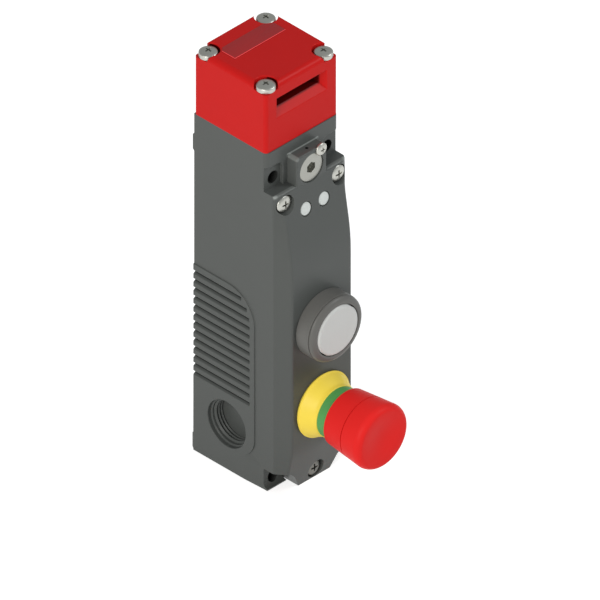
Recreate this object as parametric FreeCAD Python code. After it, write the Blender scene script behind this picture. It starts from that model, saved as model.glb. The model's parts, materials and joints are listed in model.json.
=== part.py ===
import FreeCAD, Part
import math
import os

# Tongue interlock switch: a guard-locking safety switch with a push button and an emergency stop.
# Millimetres. X runs across the switch, the back plane of the base is Y = 0 and the front is
# towards -Y, and heights are measured up from the underside of the base. save() moves every
# piece to the part's own origin: the centre of the four mounting holes, on the mounting face.

V = FreeCAD.Vector
ALONG_X = V(1, 0, 0)
ALONG_Y = V(0, 1, 0)
ALONG_Z = V(0, 0, 1)

# Overall sizes
width = 40.0             # base, cover and head
base_depth = 38.7        # back plane to the joint face of the cover
base_height = 161.5      # underside of the base to the joint of the head
head_depth = 40.0
head_height = 30.7
wall = 2.7               # side walls of the base
back_wall = 3.0
floor_thickness = 13.0
ceiling_drop = 22.0      # top of the wiring space below the head joint

# Clearances
fixed_gap = 0.05         # screw threads and pressed pieces, on radius
running_gap = 0.03       # turning and sliding fits, on radius
free_gap = 0.3           # between pieces that pass each other

# Mounting to the guard
hole_spacing_x = 30.0
hole_radius = 2.65
lower_hole_height = 4.3
upper_hole_drop = 13.8   # below the head joint
rail_height = 8.6        # raised rails around the holes, on the back
rail_rise = 0.8

# Neck above the cover
neck_front_rise = 1.7    # the neck stands this far in front of the cover's joint face
neck_radius = 2.2
pocket_width = 9.1       # open corner around each upper hole
pocket_height = 11.3
pocket_radius = 3.0
lip_rise = 2.2           # foot lip below each lower hole

# Ribbed side panels
panel_rise = 0.5
panel_depth = 33.9
panel_top = 89.5
panel_top_radius = 14.5
panel_foot_height = 20.6
panel_foot_radius = 10.0
panel_fade_top = 16.0    # below this height the wall rises to meet the panel's foot
panel_fade_end = 8.0
panel_fade_front = 10.0  # top of that rise at the joint face
groove_count = 13
groove_pitch = 4.03
first_groove_height = 85.6
groove_mouth = 2.6
groove_depth = 1.4
groove_margin = 2.6      # between a groove's end and the panel's front edge

# M20 conduit entries, left, right and underneath
entry_depth = 18.7       # axis behind the front, from the back plane
entry_height = 21.5
entry_radius = 9.2       # thread crests
entry_mouth_step = 1.4   # mouth beyond the thread, on radius
entry_mouth_depth = 2.0
entry_boss_wall = 3.0    # boss around the thread
entry_boss_length = 5.0
knockout_wall = 0.8

# Front cover
cover_top_drop = 18.5    # below the head joint
cover_front = 12.4       # flat control face in front of the joint face
cover_side_rise = 5.5    # straight sides before the slanted strips
strip_width = 3.6        # strips, measured across
cover_wall = 2.0
cover_edge_radius = 1.5
shoulder_radius = 1.0
slope_top_rise = 6.7     # control face above the slope, at the top of the cover
slope_foot_drop = 50.5   # where slope and flat face would meet, below the head joint
slope_blend_radius = 88.0
chin_height = 20.5
chin_set_back = 4.4
chin_blend_radius = 40.0
foot_cut_inset = 10.6    # corner cut-outs over the lower mounting holes
foot_cut_height = 9.8
foot_cut_radius = 4.0
corner_land = 11.0       # solid corners of the cavity that carry the upper cover screws

# Release turret and auxiliary release
turret_width = 17.0
turret_height = 13.2
turret_radius = 2.0
turret_rise = 5.1        # in front of the neck
release_drop = 13.5      # axis below the head joint
disc_radius = 6.5
disc_thickness = 1.6
disc_set_back = 0.4
hex_size = 4.0
hex_depth = 1.4          # of the socket in the shaft, behind the disc
shaft_radius = 3.0
shaft_length = 17.0
shaft_flat_length = 5.0
seal_radius = 4.5
seal_thickness = 1.8
tamper_offset = V(5.0, 0, 6.6)
wire_hole_radius = 0.75
wire_hole_depth = 4.0
wire_hole_set_back = 2.8
tamper_length = 4.0

# Gaskets
gasket_inset = 0.75      # cavity edge to the gasket
gasket_width = 1.2
gasket_thickness = 1.0
head_gasket_half = 13.4

# Screws: head radius, head height, shank radius
cover_screw = (3.45, 2.4, 1.75)
head_screw = (3.9, 3.5, 1.95)
tamper_screw_size = (2.8, 1.5, 1.45)
small_screw = (2.6, 1.6, 1.45)
board_screw_size = (1.4, 0.8, 0.75)
cover_screw_inset = 5.2
cover_screw_drop = 23.8
cover_screw_sink = 6.4   # top of the head in front of the joint face
cover_screw_grip = 10.0  # thread in the base
chin_screw_height = 4.5
chin_screw_sink = 7.6
counterbore_radius = 4.25
head_screw_inset = 4.0
head_screw_rise = 0.5    # top of the screw heads above the top of the head
head_screw_grip = 9.0
head_pocket_radius = 5.2

# Head and tongue slot
head_edge_radius = 1.7
head_top_radius = 2.8
head_back_radius = 0.5   # top edges at the back and on the right
slot_half = 12.0
slot_height = 17.7       # bottom of the slot above the head joint
slot_opening = 4.6
slot_overrun = 2.0       # slot behind the rotor, for the tip of the tongue
mouth_half = 14.0
mouth_height = 14.4
mouth_opening = 9.5
mouth_depth = 3.0
head_cavity_half_x = 11.5
head_cavity_half_y = 11.5
head_cavity_height = 24.5

# Cam rotor, its pin and the actuating rod
rotor_height = 12.0      # axis above the head joint
rotor_radius = 9.5
rotor_half_width = 5.0
hub_radius = 4.0
pin_radius = 2.0
pin_seat = 5.0           # length of pin in the left wall
rotor_turn = 50.0        # degrees, as the tongue goes in
cam_overrun = 7.0
rod_travel = 4.0
rod_radius = 2.5
rod_tip_radius = 0.8
cam_gap = 0.1
tongue_clear_height = 17.4
tooth_set_back = 0.5
bar_notch_width = 4.0
bar_notch_depth = 3.5
bush_radius = 4.5
bush_set_back = 0.5
collar_radius = 5.5
collar_thickness = 1.2

# Lock: keyhole plate on the armature of the solenoid
lock_drop = 46.5         # plate centre below the head joint
lock_plate = 2.0
lock_plate_half = 8.0
lock_travel = 3.2
keyhole_gap = 0.3
plate_rim = 1.7
armature_radius = 4.0
armature_length = 13.0
armature_slot = 4.0
armature_bore = 2.5
armature_bore_depth = 5.0
winding_radius = 9.2
bobbin_flange_radius = 9.5
bobbin_length = 11.5
bobbin_flange = 1.0
bobbin_wall = 0.9
yoke_plate = 1.5
yoke_gap = 0.5           # between the plate in its locked place and the yoke
yoke_half = 9.5
yoke_strap = 5.0         # half width of the straps
ear_half_height = 8.0
rib_width = 5.0

# Monitoring contacts
block_top_drop = 13.0    # below the lock plate
block_height = 14.0
block_half = 14.0
block_depth = 26.0
block_stand_off = 1.0
rod_bore_depth = 9.0
rod_in_block = 6.0
block_screw_half = 11.0
block_screw_drop = 10.5  # below the top of the block
block_screw_thread = 2.0
terminal_drop = 3.5
terminal_thread = 5.0
terminal_count = 4
terminal_pitch = 6.6

earth_boss_rise = 2.0
earth_boss_radius = 4.0

# Indicator windows and their board
window_drop = 29.9       # below the head joint
window_spacing = 10.0
window_radius = 3.1
window_flange_radius = 3.6
board_half = 9.2
board_height = 9.0
board_thickness = 1.4
board_set_back = 1.3     # behind the window flanges
window_flange = 0.8
window_rise = 0.1
window_seat = 2.05       # inner face of the wall, measured square to the slope
led_half = 1.2
led_rise = 0.8
board_thread_length = 1.5
post_radius = 1.6
post_spacing = 7.0

# Controls in the cover: both fit 22 mm holes
control_hole_gap = 0.15      # around the barrel, on radius
barrel_radius = 11.0
barrel_length = 15.1     # behind the control face
nut_rim = 2.0                # nut beyond its thread
nut_thickness = 3.0
contact_half_width = 9.0
contact_half_height = 10.0
contact_depth = 16.0
contact_pocket_spare = 0.8   # beyond the stem's full travel

# Push button
button_height = 77.0
button_travel = 3.0
bezel_radius = 14.6
bezel_rise = 8.9
bezel_edge = 2.6
lens_radius = 11.2
lens_rise = 9.3
lens_edge = 1.6
lens_thickness = 4.4
lens_cup_spare = 0.4        # beyond the travel
barrel_bore = 9.2
plunger_radius = 8.9
plunger_length = 10.0
button_stem_radius = 3.5
barrel_flange_depth = 11.1   # behind the control face

# Emergency stop
estop_height = 37.5
estop_travel = 4.5
ring_foot_radius = 14.0
ring_rim_radius = 14.5
ring_rim_rise = 1.1
ring_waist_radius = 10.9
ring_rise = 8.2
collar_ring_radius = 10.5
collar_rise = 13.2
neck_tube_radius = 9.0
knob_back_radius = 12.0
knob_rim_radius = 14.6
knob_seam_rise = 23.9
knob_rim_rise = 32.9
knob_front_rise = 35.4
knob_face_radius = 12.0
knob_dish = 1.2
knob_skirt_radius = 11.0
knob_skirt_spare = 1.2      # beyond the travel
stem_radius = 4.0
stem_tail_radius = 3.2
stem_collar_radius = 6.5
stem_collar_thickness = 1.5
stem_collar_back = 1.0   # behind the front bearing
cap_socket_depth = 4.0
spring_room_radius = 7.2
front_bearing = 6.0

# Springs: wire width and turns
spring_wire = 0.8
spring_turns = 3

# Places worked out from the sizes above
half = width / 2
joint_y = -base_depth
front_y = joint_y - cover_front
neck_y = joint_y - neck_front_rise
panel_corner_y = -panel_depth + panel_foot_radius / 2
cover_top = base_height - cover_top_drop
ceiling = base_height - ceiling_drop
cavity_half = half - wall
upper_hole_height = base_height - upper_hole_drop
hole_half = hole_spacing_x / 2
rod_y = -head_depth / 2
rotor_z = base_height + rotor_height
lock_z = base_height - lock_drop
block_top = lock_z - block_top_drop
inner_front_y = front_y + cover_wall
barrel_end = front_y + barrel_length
release_z = base_height - release_drop
keyhole_radius = collar_radius + keyhole_gap
plate_front = rod_y - keyhole_radius - plate_rim
yoke_back = plate_front - lock_travel - yoke_gap
turret_front = neck_y - turret_rise
disc_front = turret_front + disc_set_back
shaft_end = disc_front + disc_thickness + shaft_length
rotor_low_centre = rotor_radius + rod_tip_radius
yoke_front = yoke_back - yoke_plate - bobbin_length
block_front = -back_wall - block_stand_off - block_depth
earth_place = V(-12.0, -back_wall - earth_boss_rise, block_top - block_height - 30)
ear_screw_half = cavity_half - small_screw[0] - free_gap
window_z = base_height - window_drop
tamper_seat = V(tamper_offset.x, disc_front - 0.2, release_z + tamper_offset.z)
window_lean = math.atan((cover_front - slope_top_rise) / (slope_foot_drop - cover_top_drop))
window_front = joint_y - slope_top_rise - (cover_top - window_z) * math.tan(window_lean)
window_inward = V(0, math.cos(window_lean), -math.sin(window_lean))
board_front = window_front + cover_wall + window_flange + board_set_back
ORIGIN = V(0, rail_rise, (lower_hole_height + upper_hole_height) / 2)


def box(x0, x1, y0, y1, z0, z1):
    """Box between two corners."""
    return Part.makeBox(x1 - x0, y1 - y0, z1 - z0, V(x0, y0, z0))


def cylinder(radius, x, y, z, length, direction):
    """Cylinder from a point along a direction."""
    return Part.makeCylinder(radius, length, V(x, y, z), direction)


def prism(points, extrusion):
    """Closed outline of points, extruded."""
    return Part.Face(Part.makePolygon(points + points[:1])).extrude(extrusion)


def turned(profile, x, z):
    """Revolve (radius, y) points about the axis along Y through (x, z)."""
    points = [V(x + radius, y, z) for radius, y in profile]
    face = Part.Face(Part.makePolygon(points + points[:1]))
    return face.revolve(V(x, 0, z), ALONG_Y, 360)


def front_at(z, inset):
    """Depth of the cover's front at a height: flat face, slope above it, chin below it."""
    rise = cover_front - slope_top_rise
    slope_foot = base_height - slope_foot_drop
    lean = math.atan(rise / (cover_top - slope_foot))
    depth = blended(z - slope_foot, lean, slope_blend_radius)
    chin_lean = math.atan(chin_set_back / chin_height)
    depth += blended(chin_height - z, chin_lean, chin_blend_radius)
    top_edge = z - (cover_top - shoulder_radius)
    if inset == 0 and top_edge > 0:
        depth += shoulder_radius - math.sqrt(max(0, shoulder_radius ** 2 - top_edge ** 2))
    return front_y + inset + depth


def blended(distance, lean, radius):
    """How far a leaning face has moved back, past a rounded bend that is centred on 0."""
    reach = radius * math.tan(lean / 2)
    if distance <= -reach:
        return 0
    if distance >= reach * math.cos(lean):
        return distance * math.tan(lean)
    return radius - math.sqrt(radius ** 2 - (distance + reach) ** 2)


def edges_where(shape, test):
    """Edges whose middle point and direction pass the test."""
    found = []
    for edge in shape.Edges:
        middle = edge.valueAt((edge.FirstParameter + edge.LastParameter) / 2)
        if test(edge, middle):
            found.append(edge)
    return found


def round_corner(before, corner, after, radius):
    """Start, middle and end of the arc that rounds a corner of an outline."""
    toward_before = (before - corner).normalize()
    toward_after = (after - corner).normalize()
    half_angle = toward_before.getAngle(toward_after) / 2
    reach = radius / math.tan(half_angle)
    bisector = (toward_before + toward_after).normalize()
    centre = corner + bisector * (radius / math.sin(half_angle))
    start = corner + toward_before * reach
    end = corner + toward_after * reach
    return start, centre - bisector * radius, end


def rounded_outline(corners):
    """Closed wire through (point, radius) corners; radius 0 keeps a corner sharp."""
    edges = []
    count = len(corners)
    stops = []
    for index, (corner, radius) in enumerate(corners):
        if radius == 0:
            stops.append((corner, None, corner))
            continue
        before = corners[index - 1][0]
        after = corners[(index + 1) % count][0]
        stops.append(round_corner(before, corner, after, radius))
    for index, (start, middle, end) in enumerate(stops):
        if middle is not None:
            edges.append(Part.Arc(start, middle, end).toShape())
        following = stops[(index + 1) % count][0]
        edges.append(Part.makeLine(end, following))
    return Part.Wire(edges)


def rounded_prism(corners, extrusion):
    """Rounded outline, extruded."""
    return Part.Face(rounded_outline(corners)).extrude(extrusion)


def screw(size, length, seat, direction):
    """Pan-head screw: the head's underside is at seat and the shank runs along direction."""
    rim, height, shank = size
    edge = height * 0.4
    outline = [V(0, 0, length), V(shank, 0, length), V(shank, 0, 0), V(rim, 0, 0),
               V(rim, 0, edge - height), V(rim - edge, 0, -height), V(0, 0, -height)]
    solid = Part.Face(Part.makePolygon(outline + outline[:1])).revolve(V(0, 0, 0), ALONG_Z, 360)
    solid.Placement = FreeCAD.Placement(seat, FreeCAD.Rotation(ALONG_Z, direction))
    return solid


def coil(inner_radius, start, length, direction):
    """Compression spring of square wire with flat ends, between two seats."""
    middle_radius = inner_radius + spring_wire / 2
    pitch = (length - spring_wire) / spring_turns
    helix = Part.makeHelix(pitch, pitch * spring_turns, middle_radius)
    side = spring_wire / 2
    corners = [V(middle_radius - side, 0, -side), V(middle_radius + side, 0, -side),
               V(middle_radius + side, 0, side), V(middle_radius - side, 0, side)]
    section = Part.makePolygon(corners + corners[:1])
    wire = Part.Wire(helix).makePipeShell([section], True, True)
    wire.translate(V(0, 0, spring_wire / 2))
    turn = FreeCAD.Rotation(ALONG_Z, direction)
    wire.Placement = FreeCAD.Placement(start, turn).multiply(wire.Placement)
    return wire


def save(name, shape):
    """Write one piece, moved to the part's own origin."""
    placed = shape.copy()
    placed.translate(ORIGIN * -1)
    placed.exportStep("parts/" + name + ".step")


def cavity_prism(grow, from_y, to_y):
    """Wiring space, grown by a margin; solid land stays at its upper corners for the screws."""
    side = cavity_half + grow
    low = floor_thickness - grow
    high = ceiling + grow
    land = corner_land + grow * (2 - math.sqrt(2))
    outline = [V(-side, from_y, low), V(side, from_y, low), V(side, from_y, high - land),
               V(side - land, from_y, high), V(-side + land, from_y, high),
               V(-side, from_y, high - land)]
    return prism(outline, V(0, to_y - from_y, 0))


def ring_groove():
    """Gasket and its groove: a ring around the wiring space in the joint face of the base."""
    bottom = joint_y + gasket_thickness
    outer = cavity_prism(gasket_inset + gasket_width, bottom, joint_y)
    return outer.cut(cavity_prism(gasket_inset, bottom, joint_y))


def head_ring():
    """Square ring in the top of the neck, around the opening of the head."""
    outer = head_gasket_half
    inner = outer - gasket_width
    low = base_height - gasket_thickness
    ring = box(-outer, outer, rod_y - outer, rod_y + outer, low, base_height)
    return ring.cut(box(-inner, inner, rod_y - inner, rod_y + inner, low, base_height))


def mounting_holes():
    """Four through holes for the screws that hold the switch on the guard."""
    length = base_depth + neck_front_rise + rail_rise + 2
    return [cylinder(hole_radius, x, rail_rise + 1, z, length, -ALONG_Y)
            for x in (-hole_half, hole_half) for z in (lower_hole_height, upper_hole_height)]


def cover_screw_places():
    """Seat of each cover screw on the cover, and the length of its shank."""
    upper_y = joint_y - cover_screw_sink + cover_screw[1]
    chin_y = joint_y - chin_screw_sink + cover_screw[1]
    upper_z = base_height - cover_screw_drop
    places = [(V(x, upper_y, upper_z), joint_y - upper_y + cover_screw_grip)
              for x in (cover_screw_inset - half, half - cover_screw_inset)]
    places.append((V(0, chin_y, chin_screw_height), joint_y - chin_y + cover_screw_grip - 2))
    return places


def head_screw_places():
    """Seat of each head screw."""
    seat_z = base_height + head_height + head_screw_rise - head_screw[1]
    reach_x = half - head_screw_inset
    reach_y = head_depth / 2 - head_screw_inset
    return [V(x, rod_y + y, seat_z) for x in (-reach_x, reach_x) for y in (-reach_y, reach_y)]


def mirrored(shape):
    """The same piece on the other side of the switch."""
    return shape.mirror(V(0, 0, 0), ALONG_X)


def side_panel():
    """Raised panel on the right side of the base, before its grooves."""
    corner_z = panel_foot_height - panel_foot_radius * math.sqrt(3) / 2
    corners = [(V(0, 0, 0), 0), (V(0, panel_corner_y, 0), 0), (V(0, panel_corner_y, corner_z), 0),
               (V(0, -panel_depth, panel_foot_height - panel_foot_radius * 0.58), panel_foot_radius),
               (V(0, -panel_depth, panel_top), panel_top_radius), (V(0, 0, panel_top), 0)]
    panel = rounded_prism(corners, V(wall / 2 + panel_rise, 0, 0))
    panel.translate(V(half - wall / 2, 0, 0))
    return panel


def panel_fade():
    """Slanted wall in front of the right panel's foot, in which the panel's edge runs out."""
    inner = half - wall / 2
    raised = half + panel_rise
    climb = (panel_fade_top - panel_fade_end) / panel_rise * wall / 2
    low = [V(inner, joint_y, 0), V(half, joint_y, 0), V(raised, panel_corner_y, 0),
           V(inner, panel_corner_y, 0)]
    high = [V(inner, joint_y, panel_fade_front + climb), V(half, joint_y, panel_fade_front),
            V(raised, panel_corner_y, panel_fade_end), V(inner, panel_corner_y, panel_fade_top + climb)]
    sides = [[low[i - 1], low[i], high[i], high[i - 1]] for i in range(4)]
    faces = [Part.Face(Part.makePolygon(points + points[:1])) for points in [low, high] + sides]
    return Part.Solid(Part.Shell(faces))


def panel_front_at(z):
    """Front edge of the side panel at a height."""
    rise = max(0, z - (panel_top - panel_top_radius))
    return -panel_depth + panel_top_radius - math.sqrt(panel_top_radius ** 2 - rise ** 2)


def groove(z):
    """V groove in the right panel: it runs out at the back edge and stops short in front."""
    end_y = panel_front_at(z) + groove_margin
    overshoot = 0.2
    deep = half + panel_rise - groove_depth
    length = groove_depth + overshoot
    wide = groove_mouth / 2 * length / groove_depth
    section = [V(deep, end_y, z), V(deep + length, end_y, z - wide), V(deep + length, end_y, z + wide)]
    return prism(section, V(0, 1 - end_y, 0))


def mounting_rail(z):
    """Raised rail with bevelled edges across the back, around a pair of mounting holes."""
    low = z - rail_height / 2
    high = z + rail_height / 2
    section = [V(-half, 0, low), V(-half, rail_rise, low + rail_rise),
               V(-half, rail_rise, high - rail_rise), V(-half, 0, high)]
    return prism(section, V(width, 0, 0))


def neck():
    """Block in front of the joint face, above the cover, with open corners at the upper holes."""
    behind = joint_y + 1
    plan = [(V(-half, behind, cover_top), 0), (V(-half, neck_y, cover_top), neck_radius),
            (V(half, neck_y, cover_top), neck_radius), (V(half, behind, cover_top), 0)]
    block = rounded_prism(plan, V(0, 0, base_height - cover_top))
    inner_x = half - pocket_width
    pocket_top = cover_top + pocket_height
    outline = [(V(inner_x, neck_y - 1, cover_top - 1), 0),
               (V(inner_x, neck_y - 1, pocket_top), pocket_radius),
               (V(half + 1, neck_y - 1, pocket_top), 0), (V(half + 1, neck_y - 1, cover_top - 1), 0)]
    pocket = rounded_prism(outline, V(0, neck_front_rise + 1, 0))
    return block.cut(pocket).cut(mirrored(pocket))


def foot_lip():
    """Curved lip under the right lower mounting hole."""
    x = half - foot_cut_inset + free_gap
    back = joint_y + 1
    lip = rounded_prism([(V(x, back, 0), 0), (V(x, joint_y - lip_rise, 0), 0),
                         (V(x, joint_y - lip_rise, 0.8), 0), (V(x, joint_y, 0.8), lip_rise * 0.9),
                         (V(x, joint_y, 4), 0), (V(x, back, 4), 0)], V(half - x, 0, 0))
    return lip


def entry_bore(start, inward, depth):
    """Mouth and threaded bore of a conduit entry, to be cut out."""
    mouth = Part.makeCylinder(entry_radius + entry_mouth_step, entry_mouth_depth + 1, start - inward,
                              inward)
    return mouth.fuse(Part.makeCylinder(entry_radius, depth, start, inward))


def base_inside():
    """What stands inside the wiring space: entry bosses, ribs, stand-offs and the earth boss."""
    inner = cavity_half - entry_boss_length
    boss = cylinder(entry_radius + entry_boss_wall, inner, -entry_depth, entry_height,
                    entry_boss_length + 1, ALONG_X)
    rib = box(cavity_half - rib_width, cavity_half + 1, yoke_back, -back_wall / 2,
              lock_z - ear_half_height, lock_z + ear_half_height)
    stand = box(block_half - 5, block_half - 1, -back_wall - block_stand_off, -back_wall / 2,
                block_top - block_height, block_top)
    earth = cylinder(earth_boss_radius, earth_place.x, earth_place.y, earth_place.z,
                     earth_boss_rise + back_wall / 2, ALONG_Y)
    pieces = [earth]
    for piece in (boss, rib, stand):
        pieces += [piece, mirrored(piece)]
    return pieces


def inner_screw_places():
    """Seat, shank length and thread length of the screws inside the wiring space."""
    block_z = block_top - block_screw_drop
    block_length = block_depth + block_stand_off + block_screw_thread
    places = []
    for side in (-1, 1):
        places.append(("block", V(side * block_screw_half, block_front, block_z), block_length))
        places.append(("yoke", V(side * ear_screw_half, yoke_back - yoke_plate, lock_z), 8.0))
    places.append(("earth", earth_place, earth_boss_rise + block_screw_thread))
    return places


def inner_screw_threads():
    """Threaded holes for those screws, to be cut from the base."""
    radius = small_screw[2] + fixed_gap
    return [cylinder(radius, seat.x, seat.y, seat.z, length + 0.2, ALONG_Y)
            for name, seat, length in inner_screw_places()]


def base_housing():
    body = box(-half, half, joint_y, 0, 0, base_height).fuse([neck()])
    grooves = [groove(first_groove_height - index * groove_pitch) for index in range(groove_count)]
    panel = side_panel().cut(grooves)
    body = body.cut(grooves).cut([mirrored(cutter) for cutter in grooves])
    for piece in (panel, panel_fade(), foot_lip()):
        body = body.fuse([piece, mirrored(piece)])
    body = body.fuse([mounting_rail(lower_hole_height), mounting_rail(upper_hole_height)])
    body = body.cut(cavity_prism(0, -back_wall, joint_y - 1))
    body = body.fuse(base_inside())
    side_length = half + panel_rise - cavity_half + entry_boss_length - knockout_wall
    side_entry = entry_bore(V(half + panel_rise, -entry_depth, entry_height), -ALONG_X, side_length)
    cuts = [side_entry, mirrored(side_entry)]
    cuts.append(entry_bore(V(0, -entry_depth, 0), ALONG_Z, floor_thickness - knockout_wall))
    cuts += mounting_holes()
    cuts += [ring_groove(), head_ring()]
    thread = cover_screw[2] + fixed_gap
    cuts += [cylinder(thread, seat.x, seat.y, seat.z, length + 0.5, ALONG_Y)
             for seat, length in cover_screw_places()]
    thread = head_screw[2] + fixed_gap
    cuts += [cylinder(thread, seat.x, seat.y, base_height, head_screw_grip + 0.5, -ALONG_Z)
             for seat in head_screw_places()]
    cuts.append(cylinder(bush_radius, 0, rod_y, ceiling - 1, base_height - ceiling + 2, ALONG_Z))
    cuts.append(cylinder(shaft_radius + running_gap, 0, neck_y - 1, release_z,
                         shaft_end - neck_y + 1 + free_gap, ALONG_Y))
    cuts += inner_screw_threads()
    return body.cut(cuts)


def cover_levels():
    """Heights at which the cover's section is drawn: more where the front bends."""
    slope_foot = base_height - slope_foot_drop
    levels = [0]
    levels += [chin_height + step * 2 for step in (-2, 0, 2)]
    levels += [slope_foot + step * 4 for step in (-2, -1, 0, 1, 2)]
    levels += [cover_top - shoulder_radius * step for step in (1, 0.3)]
    levels.append(cover_top)
    return levels


def cover_section(z, inset, radius):
    """Section of the cover at a height: straight sides, slanted strips, rounded edges."""
    side = half - inset
    side_y = joint_y - cover_side_rise + inset * 0.5
    strip_x = half - strip_width - inset * 0.6
    y = min(front_at(z, inset), side_y - 0.15)
    right = [(V(strip_x, y, z), radius), (V(side, side_y, z), radius), (V(side, joint_y, z), 0)]
    left = [(V(-point.x, point.y, z), bend) for point, bend in reversed(right)]
    return rounded_outline(left + right)


def cover_form():
    """Solid of the cover's outer form."""
    sections = [cover_section(z, 0, cover_edge_radius) for z in cover_levels()]
    return Part.makeLoft(sections, True, True)


def cover_inside():
    """Space inside the cover's walls, with sharp edges."""
    slope_foot = base_height - slope_foot_drop
    bend = slope_blend_radius * math.tan(window_lean / 2)
    levels = (0, chin_height, chin_height + 4, slope_foot - bend, slope_foot + bend, cover_top)
    form = Part.makeLoft([cover_section(z, cover_wall, 0) for z in levels], True, True)
    return form.common(cavity_prism(0, joint_y + 1, front_y - 1))


def foot_cut():
    """Corner cut-out over the right lower mounting hole."""
    inner_x = half - foot_cut_inset
    y = joint_y + 1
    outline = [(V(inner_x, y, -1), 0), (V(inner_x, y, foot_cut_height), foot_cut_radius),
               (V(half + 1, y, foot_cut_height), 0), (V(half + 1, y, -1), 0)]
    return rounded_prism(outline, V(0, -cover_front - 2, 0))


def turret():
    """Raised block at the top of the cover that carries the auxiliary release."""
    side = turret_width / 2
    top = cover_top + turret_height
    low = cover_top - 2
    outline = [(V(-side, neck_y, low), 0), (V(-side, neck_y, top), turret_radius),
               (V(side, neck_y, top), turret_radius), (V(side, neck_y, low), 0)]
    block = rounded_prism(outline, V(0, -turret_rise, 0))
    rim = edges_where(block, lambda edge, middle: abs(middle.y - turret_front) < 0.01
                      and middle.z > low + 0.01)
    return block.makeChamfer(0.6, rim)


def on_slope(x, z, depth):
    """Point behind the sloped control face, measured square to it."""
    return V(x, front_at(z, 0), z) + window_inward * depth


def window_cutters():
    """Holes for the two indicator windows."""
    radius = window_radius + fixed_gap
    return [Part.makeCylinder(radius, cover_wall + 2, on_slope(x, window_z, -1), window_inward)
            for x in (-window_spacing / 2, window_spacing / 2)]


def board_posts():
    """Posts behind the cover that carry the indicator board."""
    posts = []
    for z in (window_z - post_spacing / 2, window_z + post_spacing / 2):
        foot_y = front_at(z, 0) + cover_wall / 2
        posts.append(cylinder(post_radius, 0, foot_y, z, board_front - foot_y, ALONG_Y))
    return posts


def front_cover():
    cover = cover_form().fuse([turret()]).cut(cover_inside()).fuse(board_posts())
    cut = foot_cut()
    cuts = [cut, mirrored(cut)]
    for z in (button_height, estop_height):
        cuts.append(cylinder(barrel_radius + control_hole_gap, 0, front_y - 1, z, cover_wall + 2,
                             ALONG_Y))
        cuts.append(cylinder(barrel_radius + nut_rim + free_gap / 2, 0, inner_front_y, z,
                             nut_thickness + free_gap, ALONG_Y))
    for seat, length in cover_screw_places():
        cuts.append(cylinder(counterbore_radius, seat.x, front_y - 1, seat.z, seat.y - front_y + 1,
                             ALONG_Y))
        cuts.append(cylinder(cover_screw[2] + free_gap / 2, seat.x, seat.y - 1, seat.z, length, ALONG_Y))
    disc_back = disc_front + disc_thickness
    cuts.append(cylinder(disc_radius + running_gap, 0, turret_front - 1, release_z,
                         disc_back - turret_front + 1, ALONG_Y))
    cuts.append(cylinder(shaft_radius + running_gap, 0, disc_back - 1, release_z,
                         neck_y - disc_back + 2, ALONG_Y))
    cuts.append(cylinder(seal_radius + fixed_gap, 0, neck_y - seal_thickness, release_z,
                         seal_thickness + 1, ALONG_Y))
    cuts.append(cylinder(tamper_screw_size[0] + fixed_gap, tamper_seat.x, turret_front - 1,
                         tamper_seat.z, tamper_seat.y - turret_front + 1, ALONG_Y))
    cuts.append(cylinder(tamper_screw_size[2] + fixed_gap, tamper_seat.x, tamper_seat.y,
                         tamper_seat.z, tamper_length + 0.2, ALONG_Y))
    cuts.append(cylinder(wire_hole_radius, 0, turret_front + wire_hole_set_back,
                         cover_top + turret_height + 1, wire_hole_depth + 1, -ALONG_Z))
    cuts += window_cutters()
    board_thread = board_screw_size[2] + fixed_gap
    cuts += [cylinder(board_thread, 0, board_front, z, board_thread_length + 0.2, -ALONG_Y)
             for z in (window_z - post_spacing / 2, window_z + post_spacing / 2)]
    return cover.cut(cuts)


def head_block():
    """Head with rounded upright edges and wider rounding along its front and left top edges."""
    top = base_height + head_height
    plan = [(V(-half, 0, base_height), head_edge_radius), (V(-half, -head_depth, base_height),
            head_edge_radius), (V(half, -head_depth, base_height), head_edge_radius),
            (V(half, 0, base_height), head_edge_radius)]
    front = [(V(-half, 0, base_height), 0), (V(-half, 0, top), head_top_radius),
             (V(half, 0, top), head_back_radius), (V(half, 0, base_height), 0)]
    side = [(V(-half, 0, base_height), 0), (V(-half, 0, top), head_back_radius),
            (V(-half, -head_depth, top), head_top_radius), (V(-half, -head_depth, base_height), 0)]
    block = rounded_prism(plan, V(0, 0, head_height))
    return block.common(rounded_prism(front, V(0, -head_depth, 0))).common(
        rounded_prism(side, V(width, 0, 0)))


def slot_section(half_width, y, low, opening):
    """Rectangle across the slot."""
    corners = [V(-half_width, y, low), V(half_width, y, low), V(half_width, y, low + opening),
               V(-half_width, y, low + opening)]
    return Part.makePolygon(corners + corners[:1])


def head_housing():
    block = head_block()
    slot_low = base_height + slot_height
    mouth_low = base_height + mouth_height
    throat_y = -head_depth + mouth_depth
    mouth = Part.makeLoft([slot_section(mouth_half, -head_depth - 0.01, mouth_low, mouth_opening),
                           slot_section(slot_half, throat_y, slot_low, slot_opening)], True, True)
    slot = box(-slot_half, slot_half, throat_y - 0.5, rod_y + head_cavity_half_y + slot_overrun,
               slot_low, slot_low + slot_opening)
    cavity = box(-head_cavity_half_x, head_cavity_half_x, rod_y - head_cavity_half_y,
                 rod_y + head_cavity_half_y, base_height - 1, base_height + head_cavity_height)
    bore = cylinder(pin_radius + fixed_gap / 5, -head_cavity_half_x - pin_seat, rod_y, rotor_z,
                    width + 2, ALONG_X)
    cuts = [mouth, slot, cavity, bore]
    for seat in head_screw_places():
        cuts.append(cylinder(head_pocket_radius, seat.x, seat.y, seat.z, head_height, ALONG_Z))
        cuts.append(cylinder(head_screw[2] + free_gap / 2, seat.x, seat.y, seat.z + 1,
                             head_height + 2, -ALONG_Z))
    return block.cut(cuts)


def rotor_pin():
    left = -head_cavity_half_x - pin_seat
    return cylinder(pin_radius, left, rod_y, rotor_z, half - left - 0.2, ALONG_X)


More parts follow.
